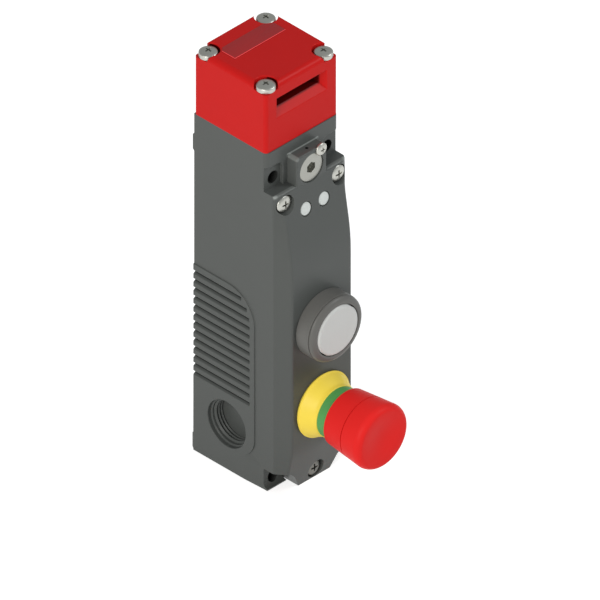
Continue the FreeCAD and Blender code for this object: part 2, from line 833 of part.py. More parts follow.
def cam_point(turn):
    """Point of the cam that faces the rod tip after a turn, about the rotor's centre (Y, Z).

    The centre of the rod's rounded tip lies on a spiral that closes in by the same amount for
    each degree; the cam is that spiral moved in by the tip's radius and the running clearance.
    """
    gain = rod_travel / math.radians(rotor_turn)
    reach = rotor_low_centre - gain * turn
    outward = (math.sin(turn), -math.cos(turn))
    sideways = (math.cos(turn), math.sin(turn))
    offset = (rod_tip_radius + cam_gap) / math.hypot(reach, gain)
    y = reach * outward[0] - offset * (reach * outward[0] + gain * sideways[0])
    z = reach * outward[1] - offset * (reach * outward[1] + gain * sideways[1])
    return V(-rotor_half_width, rod_y + y, rotor_z + z)


def head_cam_rotor():
    """Rotor with the spiral cam underneath and the notch that takes the bar of the tongue."""
    last = math.radians(rotor_turn + cam_overrun)
    steps = 8
    points = [cam_point(last * step / steps) for step in range(steps + 1)]
    spiral = Part.BSplineCurve()
    spiral.interpolate(points)
    centre = V(-rotor_half_width, rod_y, rotor_z)
    start, end = points[0], points[-1]
    rim = start.distanceToPoint(centre)
    inner = end.distanceToPoint(centre)
    level = centre + V(0, inner, 0)
    end_angle = math.atan2(end.z - centre.z, end.y - centre.y)
    middle_angle = end_angle / 2
    middle = centre + V(0, inner * math.cos(middle_angle), inner * math.sin(middle_angle))
    far = centre + V(0, rim * math.cos(math.radians(135)), rim * math.sin(math.radians(135)))
    edges = [spiral.toShape(), Part.Arc(end, middle, level).toShape(),
             Part.makeLine(level, centre + V(0, rim, 0)),
             Part.Arc(centre + V(0, rim, 0), far, start).toShape()]
    rotor = Part.Face(Part.Wire(edges)).extrude(V(rotor_half_width * 2, 0, 0))
    hub_half = head_cavity_half_x - free_gap
    rotor = rotor.fuse(cylinder(hub_radius, -hub_half, rod_y, rotor_z, hub_half * 2, ALONG_X))
    way = base_height + tongue_clear_height
    tooth_y = rod_y - tooth_set_back
    wide = rotor_half_width + 1
    clear = box(-wide, wide, rod_y - rotor_radius - 1, tooth_y, way, rotor_z + rotor_radius + 1)
    notch = box(-wide, wide, tooth_y - bar_notch_width, tooth_y, way - bar_notch_depth, way + 1)
    bore = cylinder(pin_radius + running_gap, -half, rod_y, rotor_z, width, ALONG_X)
    return rotor.cut([clear, notch, bore])


def rod_bush():
    low = ceiling
    length = base_height - bush_set_back - low
    sleeve = cylinder(bush_radius - fixed_gap / 5, 0, rod_y, low, length, ALONG_Z)
    return sleeve.cut(cylinder(rod_radius + running_gap, 0, rod_y, low - 1, length + 2, ALONG_Z))


def actuating_rod():
    """Rod with a chisel tip under the cam and the collar that the lock plate holds."""
    tip_z = rotor_z - rotor_low_centre + rod_tip_radius
    bottom = block_top - rod_in_block
    rod = cylinder(rod_radius, 0, rod_y, bottom, tip_z - bottom, ALONG_Z)
    collar_z = lock_z - lock_plate / 2 - free_gap - collar_thickness
    collar = cylinder(collar_radius, 0, rod_y, collar_z, collar_thickness, ALONG_Z)
    low = tip_z - rod_radius * 2
    side = rod_radius + 1
    tip = [(V(-side, rod_y - side, low), 0),
           (V(-side, rod_y - side, tip_z - side + rod_tip_radius * 0.41), 0),
           (V(-side, rod_y, tip_z + rod_tip_radius * 0.41), rod_tip_radius),
           (V(-side, rod_y + side, tip_z - side + rod_tip_radius * 0.41), 0),
           (V(-side, rod_y + side, low), 0)]
    chisel = rounded_prism(tip, V(side * 2, 0, 0))
    blank = box(-side, side, rod_y - side, rod_y + side, bottom - 1, low)
    return rod.common(chisel.fuse(blank)).fuse(collar)


def lock_bolt():
    """Plate with a keyhole: the rod's collar passes the round part and is held by the narrow one."""
    low = lock_z - lock_plate / 2
    back = rod_y + lock_travel + rod_radius + keyhole_gap + plate_rim
    plate = box(-lock_plate_half, lock_plate_half, plate_front, back, low, low + lock_plate)
    tongue_half = armature_radius * 0.75
    plate = plate.fuse(box(-tongue_half, tongue_half, plate_front - armature_slot, plate_front + 1,
                           low, low + lock_plate))
    narrow = rod_radius + keyhole_gap
    hole = cylinder(keyhole_radius, 0, rod_y, low - 1, lock_plate + 2, ALONG_Z)
    neck_hole = box(-narrow, narrow, rod_y, rod_y + lock_travel, low - 1, low + lock_plate + 1)
    end = cylinder(narrow, 0, rod_y + lock_travel, low - 1, lock_plate + 2, ALONG_Z)
    return plate.cut([hole, neck_hole, end])


def solenoid_armature():
    body = cylinder(armature_radius, 0, plate_front, lock_z, armature_length, -ALONG_Y)
    slot = box(-armature_radius - 1, armature_radius + 1, plate_front - armature_slot,
               plate_front + 1, lock_z - lock_plate / 2, lock_z + lock_plate / 2)
    bore = cylinder(armature_bore, 0, plate_front - armature_length - 1, lock_z,
                    armature_bore_depth + 1, ALONG_Y)
    return body.cut([slot, bore])


def armature_spring():
    seat_y = plate_front - armature_length + armature_bore_depth
    start = V(0, seat_y, lock_z)
    return coil(armature_bore - 0.3 - spring_wire, start, seat_y - yoke_front, -ALONG_Y)


def solenoid_bobbin():
    start = yoke_back - yoke_plate
    bore = armature_radius + free_gap / 2
    tube = cylinder(bore + bobbin_wall, 0, start, lock_z, bobbin_length, -ALONG_Y)
    near = cylinder(bobbin_flange_radius, 0, start, lock_z, bobbin_flange, -ALONG_Y)
    far = cylinder(bobbin_flange_radius, 0, yoke_front, lock_z, bobbin_flange, ALONG_Y)
    return tube.fuse([near, far]).cut(cylinder(bore, 0, start + 1, lock_z, bobbin_length + 2, -ALONG_Y))


def solenoid_winding():
    start = yoke_back - yoke_plate - bobbin_flange
    length = bobbin_length - 2 * bobbin_flange
    inner = armature_radius + free_gap / 2 + bobbin_wall
    coil_body = cylinder(winding_radius, 0, start, lock_z, length, -ALONG_Y)
    return coil_body.cut(cylinder(inner, 0, start + 1, lock_z, length + 2, -ALONG_Y))


def solenoid_yoke():
    """Steel frame round the coil; its wide back plate is screwed to the ribs of the base."""
    ear = cavity_half - free_gap
    back = box(-ear, ear, yoke_back - yoke_plate, yoke_back, lock_z - ear_half_height,
               lock_z + ear_half_height)
    middle = box(-yoke_strap, yoke_strap, yoke_back - yoke_plate, yoke_back,
                 lock_z - yoke_half - yoke_plate, lock_z + yoke_half + yoke_plate)
    front = box(-yoke_strap, yoke_strap, yoke_front - yoke_plate, yoke_front,
                lock_z - yoke_half - yoke_plate, lock_z + yoke_half + yoke_plate)
    straps = [box(-yoke_strap, yoke_strap, yoke_front, yoke_back, low, low + yoke_plate)
              for low in (lock_z - yoke_half - yoke_plate, lock_z + yoke_half)]
    frame = back.fuse([middle, front] + straps)
    hole = cylinder(armature_radius + free_gap / 2, 0, yoke_back + 1, lock_z, yoke_plate + 2, -ALONG_Y)
    thread = small_screw[2] + fixed_gap
    screws = [cylinder(thread, x, yoke_back + 1, lock_z, yoke_plate + 2, -ALONG_Y)
              for x in (-ear_screw_half, ear_screw_half)]
    return frame.cut([hole] + screws)


def switch_block():
    """Contact unit that the lower end of the rod works."""
    low = block_top - block_height
    back = -back_wall - block_stand_off
    block = box(-block_half, block_half, block_front, back, low, block_top)
    cuts = [cylinder(rod_radius + free_gap, 0, rod_y, block_top + 1, rod_bore_depth + 1, -ALONG_Z)]
    radius = small_screw[2] + fixed_gap
    for name, seat, length in inner_screw_places():
        if name == "block":
            cuts.append(cylinder(radius, seat.x, seat.y - 1, seat.z, block_depth + 2, ALONG_Y))
    for seat in terminal_places():
        cuts.append(cylinder(radius, seat.x, seat.y - 1, seat.z, terminal_thread + 1.2, ALONG_Y))
    return block.cut(cuts)


def terminal_places():
    """Seats of the terminal screws on the front of the contact unit."""
    first = -terminal_pitch * (terminal_count - 1) / 2
    return [V(first + index * terminal_pitch, block_front, block_top - terminal_drop)
            for index in range(terminal_count)]


def screws_named(wanted):
    """The inner screws of one kind, as one group."""
    return Part.makeCompound([screw(small_screw, length, seat, ALONG_Y)
                              for name, seat, length in inner_screw_places() if name == wanted])


def led_windows():
    """Two round windows, each with a flange behind the cover's wall."""
    windows = []
    for x in (-window_spacing / 2, window_spacing / 2):
        body = Part.makeCylinder(window_radius, cover_wall + window_flange,
                                 on_slope(x, window_z, -window_rise), window_inward)
        flange = Part.makeCylinder(window_flange_radius, window_flange,
                                   on_slope(x, window_z, window_seat), window_inward)
        windows.append(body.fuse(flange))
    return Part.makeCompound(windows)


def led_board():
    """Circuit board on its posts, with a light source behind each window."""
    low = window_z - board_height / 2
    board = box(-board_half, board_half, board_front, board_front + board_thickness, low,
                low + board_height)
    for x in (-window_spacing / 2, window_spacing / 2):
        board = board.fuse(box(x - led_half, x + led_half, board_front - led_rise, board_front,
                               window_z - led_half, window_z + led_half))
    radius = board_screw_size[2] + fixed_gap
    return board.cut([cylinder(radius, 0, board_front - 1, z, board_thickness + 2, ALONG_Y)
                      for z in (window_z - post_spacing / 2, window_z + post_spacing / 2)])


def board_screws():
    length = board_thickness + board_thread_length
    seat_y = board_front + board_thickness
    return Part.makeCompound([screw(board_screw_size, length, V(0, seat_y, z), -ALONG_Y)
                              for z in (window_z - post_spacing / 2, window_z + post_spacing / 2)])


def hexagon(across_flats, x, y, z, length):
    """Hexagonal bar along Y."""
    radius = across_flats / math.sqrt(3)
    corners = [V(x + radius * math.cos(math.radians(60 * step)), y,
                 z + radius * math.sin(math.radians(60 * step))) for step in range(6)]
    return prism(corners, V(0, length, 0))


def release_disc():
    disc = cylinder(disc_radius, 0, disc_front, release_z, disc_thickness, ALONG_Y)
    return disc.cut(hexagon(hex_size, 0, disc_front - 1, release_z, disc_thickness + 2))


def release_shaft():
    """Shaft of the auxiliary release: hex socket in front, flat at its inner end."""
    start = disc_front + disc_thickness
    shaft = cylinder(shaft_radius, 0, start, release_z, shaft_length, ALONG_Y)
    socket = hexagon(hex_size, 0, start - 1, release_z, hex_depth + 1)
    flat = box(-shaft_radius - 1, shaft_radius + 1, shaft_end - shaft_flat_length, shaft_end + 1,
               release_z + shaft_radius / 2, release_z + shaft_radius + 1)
    return shaft.cut([socket, flat])


def release_seal():
    start = neck_y - seal_thickness
    ring = cylinder(seal_radius, 0, start, release_z, seal_thickness, ALONG_Y)
    return ring.cut(cylinder(shaft_radius + running_gap, 0, start - 1, release_z, seal_thickness + 2,
                             ALONG_Y))


def lock_nut(z):
    """Round nut that clamps a control behind the cover."""
    nut = cylinder(barrel_radius + nut_rim, 0, inner_front_y, z, nut_thickness, ALONG_Y)
    return nut.cut(cylinder(barrel_radius + fixed_gap, 0, inner_front_y - 1, z, nut_thickness + 2, ALONG_Y))


def contact_block(z, travel):
    """Contact unit on the back of a control, with a pocket for the control's stem."""
    block = box(-contact_half_width, contact_half_width, barrel_end, barrel_end + contact_depth,
                z - contact_half_height, z + contact_half_height)
    depth = travel + contact_pocket_spare
    pocket = cylinder(stem_radius + free_gap, 0, barrel_end - 1, z, depth + 1, ALONG_Y)
    corner = contact_half_height * 2 / 5
    step = box(-contact_half_width - 1, contact_half_width + 1, barrel_end + contact_depth - 4,
               barrel_end + contact_depth + 1, z + contact_half_height - corner,
               z + contact_half_height + 1)
    other = box(-contact_half_width - 1, contact_half_width + 1, barrel_end + contact_depth - 4,
                barrel_end + contact_depth + 1, z - contact_half_height - 1,
                z - contact_half_height + corner)
    return block.cut([pocket, step, other])


def button_bezel():
    """Bezel and barrel of the push button, in one piece."""
    rim = front_y - bezel_rise
    cup = front_y - lens_rise + lens_thickness + button_travel + lens_cup_spare
    flange = front_y + barrel_flange_depth
    bore = lens_radius + free_gap / 2
    stem_hole = button_stem_radius + running_gap
    points = [(bore, rim), (bezel_radius - bezel_edge, rim), (bezel_radius - bezel_edge * 0.3,
              rim + bezel_edge * 0.35), (bezel_radius, rim + bezel_edge), (bezel_radius, front_y),
              (barrel_radius, front_y), (barrel_radius, barrel_end), (stem_hole, barrel_end),
              (stem_hole, flange), (barrel_bore, flange), (barrel_bore, cup), (bore, cup)]
    return turned(points, 0, button_height)


def button_lens():
    """Lens cap with a rounded edge."""
    front = front_y - lens_rise
    edge = lens_edge
    points = [(0, front), (lens_radius - edge, front), (lens_radius - edge * 0.3, front + edge * 0.3),
              (lens_radius, front + edge), (lens_radius, front + lens_thickness),
              (0, front + lens_thickness)]
    return turned(points, 0, button_height)


def button_plunger():
    start = front_y - lens_rise + lens_thickness
    head = cylinder(plunger_radius, 0, start, button_height, plunger_length, ALONG_Y)
    tail = barrel_end - start - free_gap
    return head.fuse(cylinder(button_stem_radius, 0, start, button_height, tail, ALONG_Y))


def button_spring():
    start = front_y - lens_rise + lens_thickness + plunger_length
    length = front_y + barrel_flange_depth - start
    return coil(button_stem_radius + 1.5, V(0, start, button_height), length, ALONG_Y)


def estop_bezel():
    """Yellow ring that flares from its waist to a thin rim on the cover."""
    bore = neck_tube_radius + fixed_gap
    waist_y = front_y - ring_rise
    rim_y = front_y - ring_rim_rise
    flare = waist_y - rim_y
    points = [(bore, front_y), (ring_foot_radius, front_y), (ring_rim_radius, rim_y)]
    steps = 7
    for step in range(1, steps):
        angle = math.pi / 2 * step / steps
        radius = ring_rim_radius - (ring_rim_radius - ring_waist_radius) * math.sin(angle)
        points.append((radius, rim_y + flare * (1 - math.cos(angle))))
    points += [(ring_waist_radius, waist_y), (bore, waist_y)]
    return turned(points, 0, estop_height)


def estop_collar():
    start = front_y - collar_rise
    ring = cylinder(collar_ring_radius, 0, start, estop_height, collar_rise - ring_rise, ALONG_Y)
    return ring.cut(cylinder(neck_tube_radius + fixed_gap, 0, start - 1, estop_height,
                             collar_rise, ALONG_Y))


def estop_body():
    """Barrel of the emergency stop with the bearing and the spring room of its stem."""
    front = front_y - collar_rise
    bearing = front + front_bearing
    flange = front_y + barrel_flange_depth
    hole = stem_radius + running_gap
    tail_hole = stem_tail_radius + running_gap
    points = [(hole, front), (neck_tube_radius, front), (neck_tube_radius, front_y),
              (barrel_radius, front_y), (barrel_radius, barrel_end), (tail_hole, barrel_end),
              (tail_hole, flange), (spring_room_radius, flange), (spring_room_radius, bearing),
              (hole, bearing)]
    return turned(points, 0, estop_height)


def knob_radius_at(rise):
    """Radius of the knob's flank at a distance in front of the control face."""
    share = (rise - collar_rise) / (knob_rim_rise - collar_rise)
    return knob_back_radius + (knob_rim_radius - knob_back_radius) * share


def estop_knob():
    """Rear part of the mushroom knob; its skirt goes over the collar when it is pressed."""
    back = front_y - collar_rise
    seam = front_y - knob_seam_rise
    inner = back - estop_travel - knob_skirt_spare
    hole = stem_radius + running_gap
    points = [(knob_skirt_radius, back), (knob_back_radius, back),
              (knob_radius_at(knob_seam_rise), seam), (hole, seam), (hole, inner),
              (knob_skirt_radius, inner)]
    return turned(points, 0, estop_height)


def estop_knob_cap():
    """Front part of the knob, with a rounded rim and a dished face."""
    seam = front_y - knob_seam_rise
    rim = front_y - knob_rim_rise
    front = front_y - knob_front_rise
    hole = stem_radius + running_gap
    socket = seam - cap_socket_depth
    edge = knob_rim_radius - knob_face_radius
    points = [(0, socket), (hole, socket), (hole, seam), (knob_radius_at(knob_seam_rise), seam),
              (knob_rim_radius, rim)]
    steps = 5
    for step in range(1, steps + 1):
        angle = math.pi / 2 * step / steps
        points.append((knob_face_radius + edge * math.cos(angle),
                       rim + (front - rim) * math.sin(angle)))
    for step in range(1, 4):
        radius = knob_face_radius * (1 - step / 3)
        sag = knob_dish * (1 - (radius / knob_face_radius) ** 2)
        points.append((radius, front + sag))
    return turned(points, 0, estop_height)


def estop_stem():
    """Stem that carries the knob; its collar takes the spring."""
    front = front_y - knob_seam_rise - cap_socket_depth + free_gap
    collar = front_y - collar_rise + front_bearing + stem_collar_back
    start = collar + stem_collar_thickness
    stem = cylinder(stem_radius, 0, front, estop_height, collar - front, ALONG_Y)
    ring = cylinder(stem_collar_radius, 0, collar, estop_height, stem_collar_thickness, ALONG_Y)
    tail = cylinder(stem_tail_radius, 0, start, estop_height, barrel_end - free_gap - start, ALONG_Y)
    return stem.fuse([ring, tail])


def estop_spring():
    start = front_y - collar_rise + front_bearing + stem_collar_back + stem_collar_thickness
    length = front_y + barrel_flange_depth - start
    return coil(stem_tail_radius + 1.2, V(0, start, estop_height), length, ALONG_Y)


def rod_spring():
    collar_z = lock_z - lock_plate / 2 - free_gap - collar_thickness
    return coil(rod_radius + 0.6, V(0, rod_y, block_top), collar_z - block_top, ALONG_Z)


def cover_screws():
    return Part.makeCompound([screw(cover_screw, length, seat, ALONG_Y)
                              for seat, length in cover_screw_places()])


def head_screws():
    return Part.makeCompound([screw(head_screw, seat.z - base_height + head_screw_grip, seat, -ALONG_Z)
                              for seat in head_screw_places()])


def switch_terminal_screws():
    return Part.makeCompound([screw(small_screw, terminal_thread, seat, ALONG_Y)
                              for seat in terminal_places()])


def main():
    os.makedirs("parts", exist_ok=True)
    save("base_housing", base_housing())
    save("cover_gasket", ring_groove())
    save("front_cover", front_cover())
    save("cover_screws", cover_screws())
    save("head_housing", head_housing())
    save("head_gasket", head_ring())
    save("head_screws", head_screws())
    save("rotor_pin", rotor_pin())
    save("head_cam_rotor", head_cam_rotor())
    save("rod_bush", rod_bush())
    save("actuating_rod", actuating_rod())
    save("rod_spring", rod_spring())
    save("lock_bolt", lock_bolt())
    save("solenoid_armature", solenoid_armature())
    save("armature_spring", armature_spring())
    save("solenoid_bobbin", solenoid_bobbin())
    save("solenoid_winding", solenoid_winding())
    save("solenoid_yoke", solenoid_yoke())
    save("yoke_screws", screws_named("yoke"))
    save("switch_block", switch_block())
    save("switch_terminal_screws", switch_terminal_screws())
    save("block_screws", screws_named("block"))
    save("earth_screw", screws_named("earth"))
    save("led_windows", led_windows())
    save("led_board", led_board())
    save("board_screws", board_screws())
    save("release_disc", release_disc())
    save("release_shaft", release_shaft())
    save("release_seal", release_seal())
    save("tamper_screw", screw(tamper_screw_size, tamper_length, tamper_seat, ALONG_Y))
    save("button_bezel", button_bezel())
    save("button_lens", button_lens())
    save("button_plunger", button_plunger())
    save("button_spring", button_spring())
    save("button_lock_nut", lock_nut(button_height))
    save("button_contact_block", contact_block(button_height, button_travel))
    save("estop_bezel", estop_bezel())
    save("estop_collar", estop_collar())
    save("estop_body", estop_body())
    save("estop_knob", estop_knob())
    save("estop_knob_cap", estop_knob_cap())
    save("estop_stem", estop_stem())
    save("estop_spring", estop_spring())
    save("estop_lock_nut", lock_nut(estop_height))
    save("estop_contact_block", contact_block(estop_height, estop_travel))


main()
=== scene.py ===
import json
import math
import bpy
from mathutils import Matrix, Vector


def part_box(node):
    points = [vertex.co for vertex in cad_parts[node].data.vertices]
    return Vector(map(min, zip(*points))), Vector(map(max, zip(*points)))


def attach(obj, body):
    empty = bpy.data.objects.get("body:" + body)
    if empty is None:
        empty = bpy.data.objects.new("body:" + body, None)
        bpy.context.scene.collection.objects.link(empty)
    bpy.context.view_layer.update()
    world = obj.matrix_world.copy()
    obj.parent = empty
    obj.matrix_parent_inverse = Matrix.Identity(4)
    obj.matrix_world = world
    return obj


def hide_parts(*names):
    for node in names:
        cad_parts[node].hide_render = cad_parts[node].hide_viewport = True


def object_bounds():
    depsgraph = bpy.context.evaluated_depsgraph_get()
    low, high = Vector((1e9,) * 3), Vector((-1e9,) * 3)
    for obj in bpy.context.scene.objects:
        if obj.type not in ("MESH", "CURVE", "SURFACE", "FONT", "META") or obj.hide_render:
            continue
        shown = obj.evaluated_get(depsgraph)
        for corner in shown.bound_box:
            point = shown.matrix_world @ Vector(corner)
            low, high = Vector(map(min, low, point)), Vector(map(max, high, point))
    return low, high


bl_info = {
    "name": "Tongue Interlock Switch",
    "version": (1, 0, 0),
    "blender": (4, 5, 0),
    "location": "3D View > Sidebar > Interlock",
    "description": "Finishes a guard-locking safety switch: housing, screws, button and emergency stop",
    "category": "Add Mesh",
}

import bmesh
import bpy
from bpy.props import FloatProperty, FloatVectorProperty, IntProperty, PointerProperty
from mathutils import Matrix, Vector

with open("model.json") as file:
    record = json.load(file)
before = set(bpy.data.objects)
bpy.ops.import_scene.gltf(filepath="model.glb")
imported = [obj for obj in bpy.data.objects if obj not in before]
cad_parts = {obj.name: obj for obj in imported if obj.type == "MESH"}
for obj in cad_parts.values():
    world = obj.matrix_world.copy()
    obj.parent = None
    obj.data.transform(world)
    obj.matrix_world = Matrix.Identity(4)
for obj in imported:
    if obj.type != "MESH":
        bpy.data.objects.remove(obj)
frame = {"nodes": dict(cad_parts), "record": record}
frame_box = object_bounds()

MM = 0.001
FRONT = Vector((0, -1, 0))
UP = Vector((0, 0, 1))

WELD = 0.5e-6  # points closer than this are one point
CAD_WELD = 2e-6  # the same for the points of a CAD node
CRISP_TURN = math.radians(6.0)  # a CAD edge that turns further than this is sharp
SOFT_TURN = math.radians(50.0)  # the same where shallow steps are smoothed
FLAT_TURN = math.radians(0.3)  # faces that turn less than this are one face
ROUNDABLE = 0.42  # share of the room beside an edge that its rounding may take


def middle(node):
    """The middle of the box round a CAD node, in metres."""
    low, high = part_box(node)
    return (low + high) / 2


def size(name, note, default, **limits):
    """A length in metres that a user may change in the panel."""
    return FloatProperty(name=name, description=note, default=default, min=0.0, unit="LENGTH",
                         precision=4, **limits)


def colour(name, note, default):
    return FloatVectorProperty(name=name, description=note, default=default, size=3, min=0.0, max=1.0,
                               subtype="COLOR")


class HousingSettings(bpy.types.PropertyGroup):
    """Housing, cover and head."""
    coat: colour("Housing coat", "Powder coat of the base and the cover", (0.084, 0.090, 0.086))
    head_coat: colour("Head coat", "Red coat of the head", (0.58, 0.012, 0.011))
    label: colour("Label plate", "Bare plate on top of the head", (0.36, 0.020, 0.022))
    edge_round: size("Edge rounding", "Rounding of the cast edges", 0.25 * MM)
    thread_pitch: size("Thread pitch", "Pitch of the conduit threads", 1.5 * MM)


class FastenerSettings(bpy.types.PropertyGroup):
    """Screws and the release disc."""
    zinc: colour("Zinc", "Zinc plating of the screws and the disc", (0.50, 0.50, 0.46))
    steps: IntProperty(name="Steps round", description="Faces round a screw head", default=48, min=16,
                       max=128)


class ControlSettings(bpy.types.PropertyGroup):
    """Push button and emergency stop."""
    bezel: colour("Bezel", "Plastic of the push button's bezel", (0.130, 0.128, 0.120))
    lens: colour("Lens", "Unlit lens of the push button", (0.60, 0.605, 0.59))
    ring: colour("Stop ring", "Yellow ring of the emergency stop", (0.98, 0.74, 0.08))
    collar: colour("Collar", "Green band behind the knob", (0.09, 0.34, 0.09))
    knob: colour("Knob", "Red mushroom knob", (0.80, 0.022, 0.020))
    steps: IntProperty(name="Steps round", description="Faces round a control", default=128, min=32,
                       max=256)


class StageSettings(bpy.types.PropertyGroup):
    """Floor, lamps and camera."""
    frame_width: size("View width", "Width that the camera takes in", 0.2357)
    azimuth: FloatProperty(name="Azimuth", description="Camera's side of the switch, from the front",
                           default=math.radians(-45.0), subtype="ANGLE")
    elevation: FloatProperty(name="Elevation", description="Camera's height above the horizon",
                             default=math.atan(math.sqrt(0.5)), subtype="ANGLE")
    key: FloatProperty(name="Key lamp", description="Strength of the lamp at the left", default=1.0,
                       min=0.0)
    sky: FloatProperty(name="Sky", description="Strength of the light from all round", default=1.0,
                       min=0.0)


class Value:
    """A socket that carries a number, so that sums are written as plain arithmetic."""

    def __init__(self, finish, socket):
        self.finish = finish
        self.socket = socket

    def combined(self, operation, *operands):
        """The result of a maths node. The operands are numbers or values."""
        out = self.finish.node("ShaderNodeMath", {"operation": operation}, dict(enumerate(operands)))
        return out[0]

    def __add__(self, other):
        return self.combined("ADD", self, other)

    def __radd__(self, other):
        return self.combined("ADD", other, self)

    def __sub__(self, other):
        return self.combined("SUBTRACT", self, other)

    def __rsub__(self, other):
        return self.combined("SUBTRACT", other, self)

    def __mul__(self, other):
        return self.combined("MULTIPLY", self, other)

    def __rmul__(self, other):
        return self.combined("MULTIPLY", other, self)

    def __truediv__(self, other):
        return self.combined("DIVIDE", self, other)

    def __rtruediv__(self, other):
        return self.combined("DIVIDE", other, self)

    def __pow__(self, other):
        return self.combined("POWER", self, other)

    def __rpow__(self, other):
        return self.combined("POWER", other, self)

    def __abs__(self):
        return self.combined("ABSOLUTE", self)

    def larger(self, other):
        return self.combined("MAXIMUM", self, other)

    def zigzag(self, height):
        """Climbs to the height and falls back to 0, over and over, as the number grows."""
        return self.combined("PINGPONG", self, height)

    def above(self, edge, width):
        """0 below the edge and 1 above it, with a soft step of this width."""
        step = self.finish.node("ShaderNodeMapRange", {"interpolation_type": "SMOOTHSTEP"},
                                {"Value": self, "From Min": edge - width / 2,
                                 "From Max": edge + width / 2, "To Min": 0.0, "To Max": 1.0})
        return step["Result"]


class Finish:
    """A material and the nodes that are added to it."""

    def __init__(self, name, **constants):
        self.material = bpy.data.materials.new(name)
        self.material.use_nodes = True
        self.tree = self.material.node_tree
        self.shader = next(n for n in self.tree.nodes if n.type == "BSDF_PRINCIPLED")
        for socket, value in constants.items():
            self.shader.inputs[socket.replace("_", " ")].default_value = value

    def node(self, kind, settings=None, values=None):
        """Adds a node, its settings first, then its values and links. Returns its output sockets."""
        made = self.tree.nodes.new(kind)
        for key, value in (settings or {}).items():
            setattr(made, key, value)
        for key, value in (values or {}).items():
            if isinstance(value, Value):
                self.tree.links.new(value.socket, made.inputs[key])
            else:
                made.inputs[key].default_value = value
        return Outputs(self, made)

    def drive(self, socket, value):
        """Lets a socket of the shader vary over the surface."""
        self.tree.links.new(value.socket, self.shader.inputs[socket])

    def place(self):
        """Where a point lies on the switch, in metres."""
        return self.node("ShaderNodeTexCoord")["Object"]

    def along(self):
        """The three coordinates of a point on the switch, in metres."""
        split = self.node("ShaderNodeSeparateXYZ", None, {"Vector": self.place()})
        return split["X"], split["Y"], split["Z"]

    def along_mm(self):
        return [part / MM for part in self.along()]

    def noise(self, scale, detail=2.0, roughness=0.5):
        """Noise with this many cells in a metre."""
        return self.node("ShaderNodeTexNoise", None, {"Vector": self.place(), "Scale": scale,
                                                      "Detail": detail, "Roughness": roughness})["Fac"]

    def blend(self, share, first, second):
        """Mixes two colours by share."""
        mixed = self.node("ShaderNodeMix", {"data_type": "RGBA"},
                          {"Factor": share, 6: first, 7: second})
        return mixed[2]

    def bump(self, height, depth):
        """Raises the surface by height, where 1 stands depth metres proud."""
        return self.node("ShaderNodeBump", None, {"Distance": depth, "Height": height})["Normal"]


class Outputs:
    """The outputs of a node, by name or number."""

    def __init__(self, finish, made):
        self.finish = finish
        self.made = made

    def __getitem__(self, key):
        return Value(self.finish, self.made.outputs[key])


def rgba(colour_values, shade=1.0):
    return (*(min(1.0, c * shade) for c in colour_values), 1.0)


finishes = {}


def smooth_object(name, bm, finish):
    """Turns a bmesh into a smoothly shaded object with one finish."""
    mesh = bpy.data.meshes.new(name)
    bm.to_mesh(mesh)
    bm.free()
    for face in mesh.polygons:
        face.use_smooth = True
    mesh.materials.append(finish)
    made = bpy.data.objects.new(name, mesh)
    bpy.context.scene.collection.objects.link(made)
    return made


def add_piece(name, bm, body, slot, sharp=28.0, replaced=(), finish=None):
    """Turns a bmesh into a piece that rides on a body; edges over the sharp angle stay sharp.

    Its finish is the slot's unless another is named.
    """
    bmesh.ops.remove_doubles(bm, verts=bm.verts, dist=WELD)
    bmesh.ops.recalc_face_normals(bm, faces=bm.faces)
    piece = smooth_object(name, bm, finishes[finish or slot])
    piece.data.set_sharp_from_angle(angle=math.radians(sharp))
    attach(piece, body)
    if replaced:
        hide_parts(*replaced)
    return piece


def turned(profile, centre, axis=FRONT, steps=96):
    """Turns a profile round an axis. Its points are (radius, height along the axis, rounding)."""
    bm = bmesh.new()
    line = [bm.verts.new((radius, 0.0, height)) for radius, height, _ in profile]
    for first, second in zip(line, line[1:]):
        bm.edges.new((first, second))
    for vertex, (_, _, rounding) in zip(line, profile):
        if rounding:
            bmesh.ops.bevel(bm, geom=[vertex], offset=rounding, offset_type="OFFSET", segments=5,
                            profile=0.5, affect="VERTICES", material=-1, clamp_overlap=False)
    bmesh.ops.spin(bm, geom=bm.verts[:] + bm.edges[:], cent=(0, 0, 0), axis=(0, 0, 1),
                   angle=math.tau, steps=steps, use_merge=True)
    bmesh.ops.remove_doubles(bm, verts=bm.verts, dist=WELD)
    return moved(bm, Matrix.Translation(centre) @ turn_to(axis))


def moved(bm, matrix):
    bmesh.ops.transform(bm, matrix=matrix, verts=bm.verts)
    return bm


def column(sides, radius, depth, centre=(0, 0, 0)):
    """An upright prism or cylinder."""
    bm = bmesh.new()
    bmesh.ops.create_cone(bm, cap_ends=True, segments=sides, radius1=radius, radius2=radius,
                          depth=depth, matrix=Matrix.Translation(centre))
    return bm


def turn_to(axis):
    """Turns +Z to an axis, with the piece's own top kept upwards where that can be."""
    axis = Vector(axis).normalized()
    side = UP.cross(axis)
    if side.length < 1e-6:
        return Matrix.Identity(4) if axis.z > 0 else Matrix.Rotation(math.pi, 4, "X")
    side.normalize()
    return Matrix((side, axis.cross(side), axis)).transposed().to_4x4()


def joined(*parts):
    """One bmesh from several."""
    whole = bmesh.new()
    for part in parts:
        mesh = bpy.data.meshes.new("part")
        part.to_mesh(mesh)
        part.free()
        whole.from_mesh(mesh)
        bpy.data.meshes.remove(mesh)
    return whole


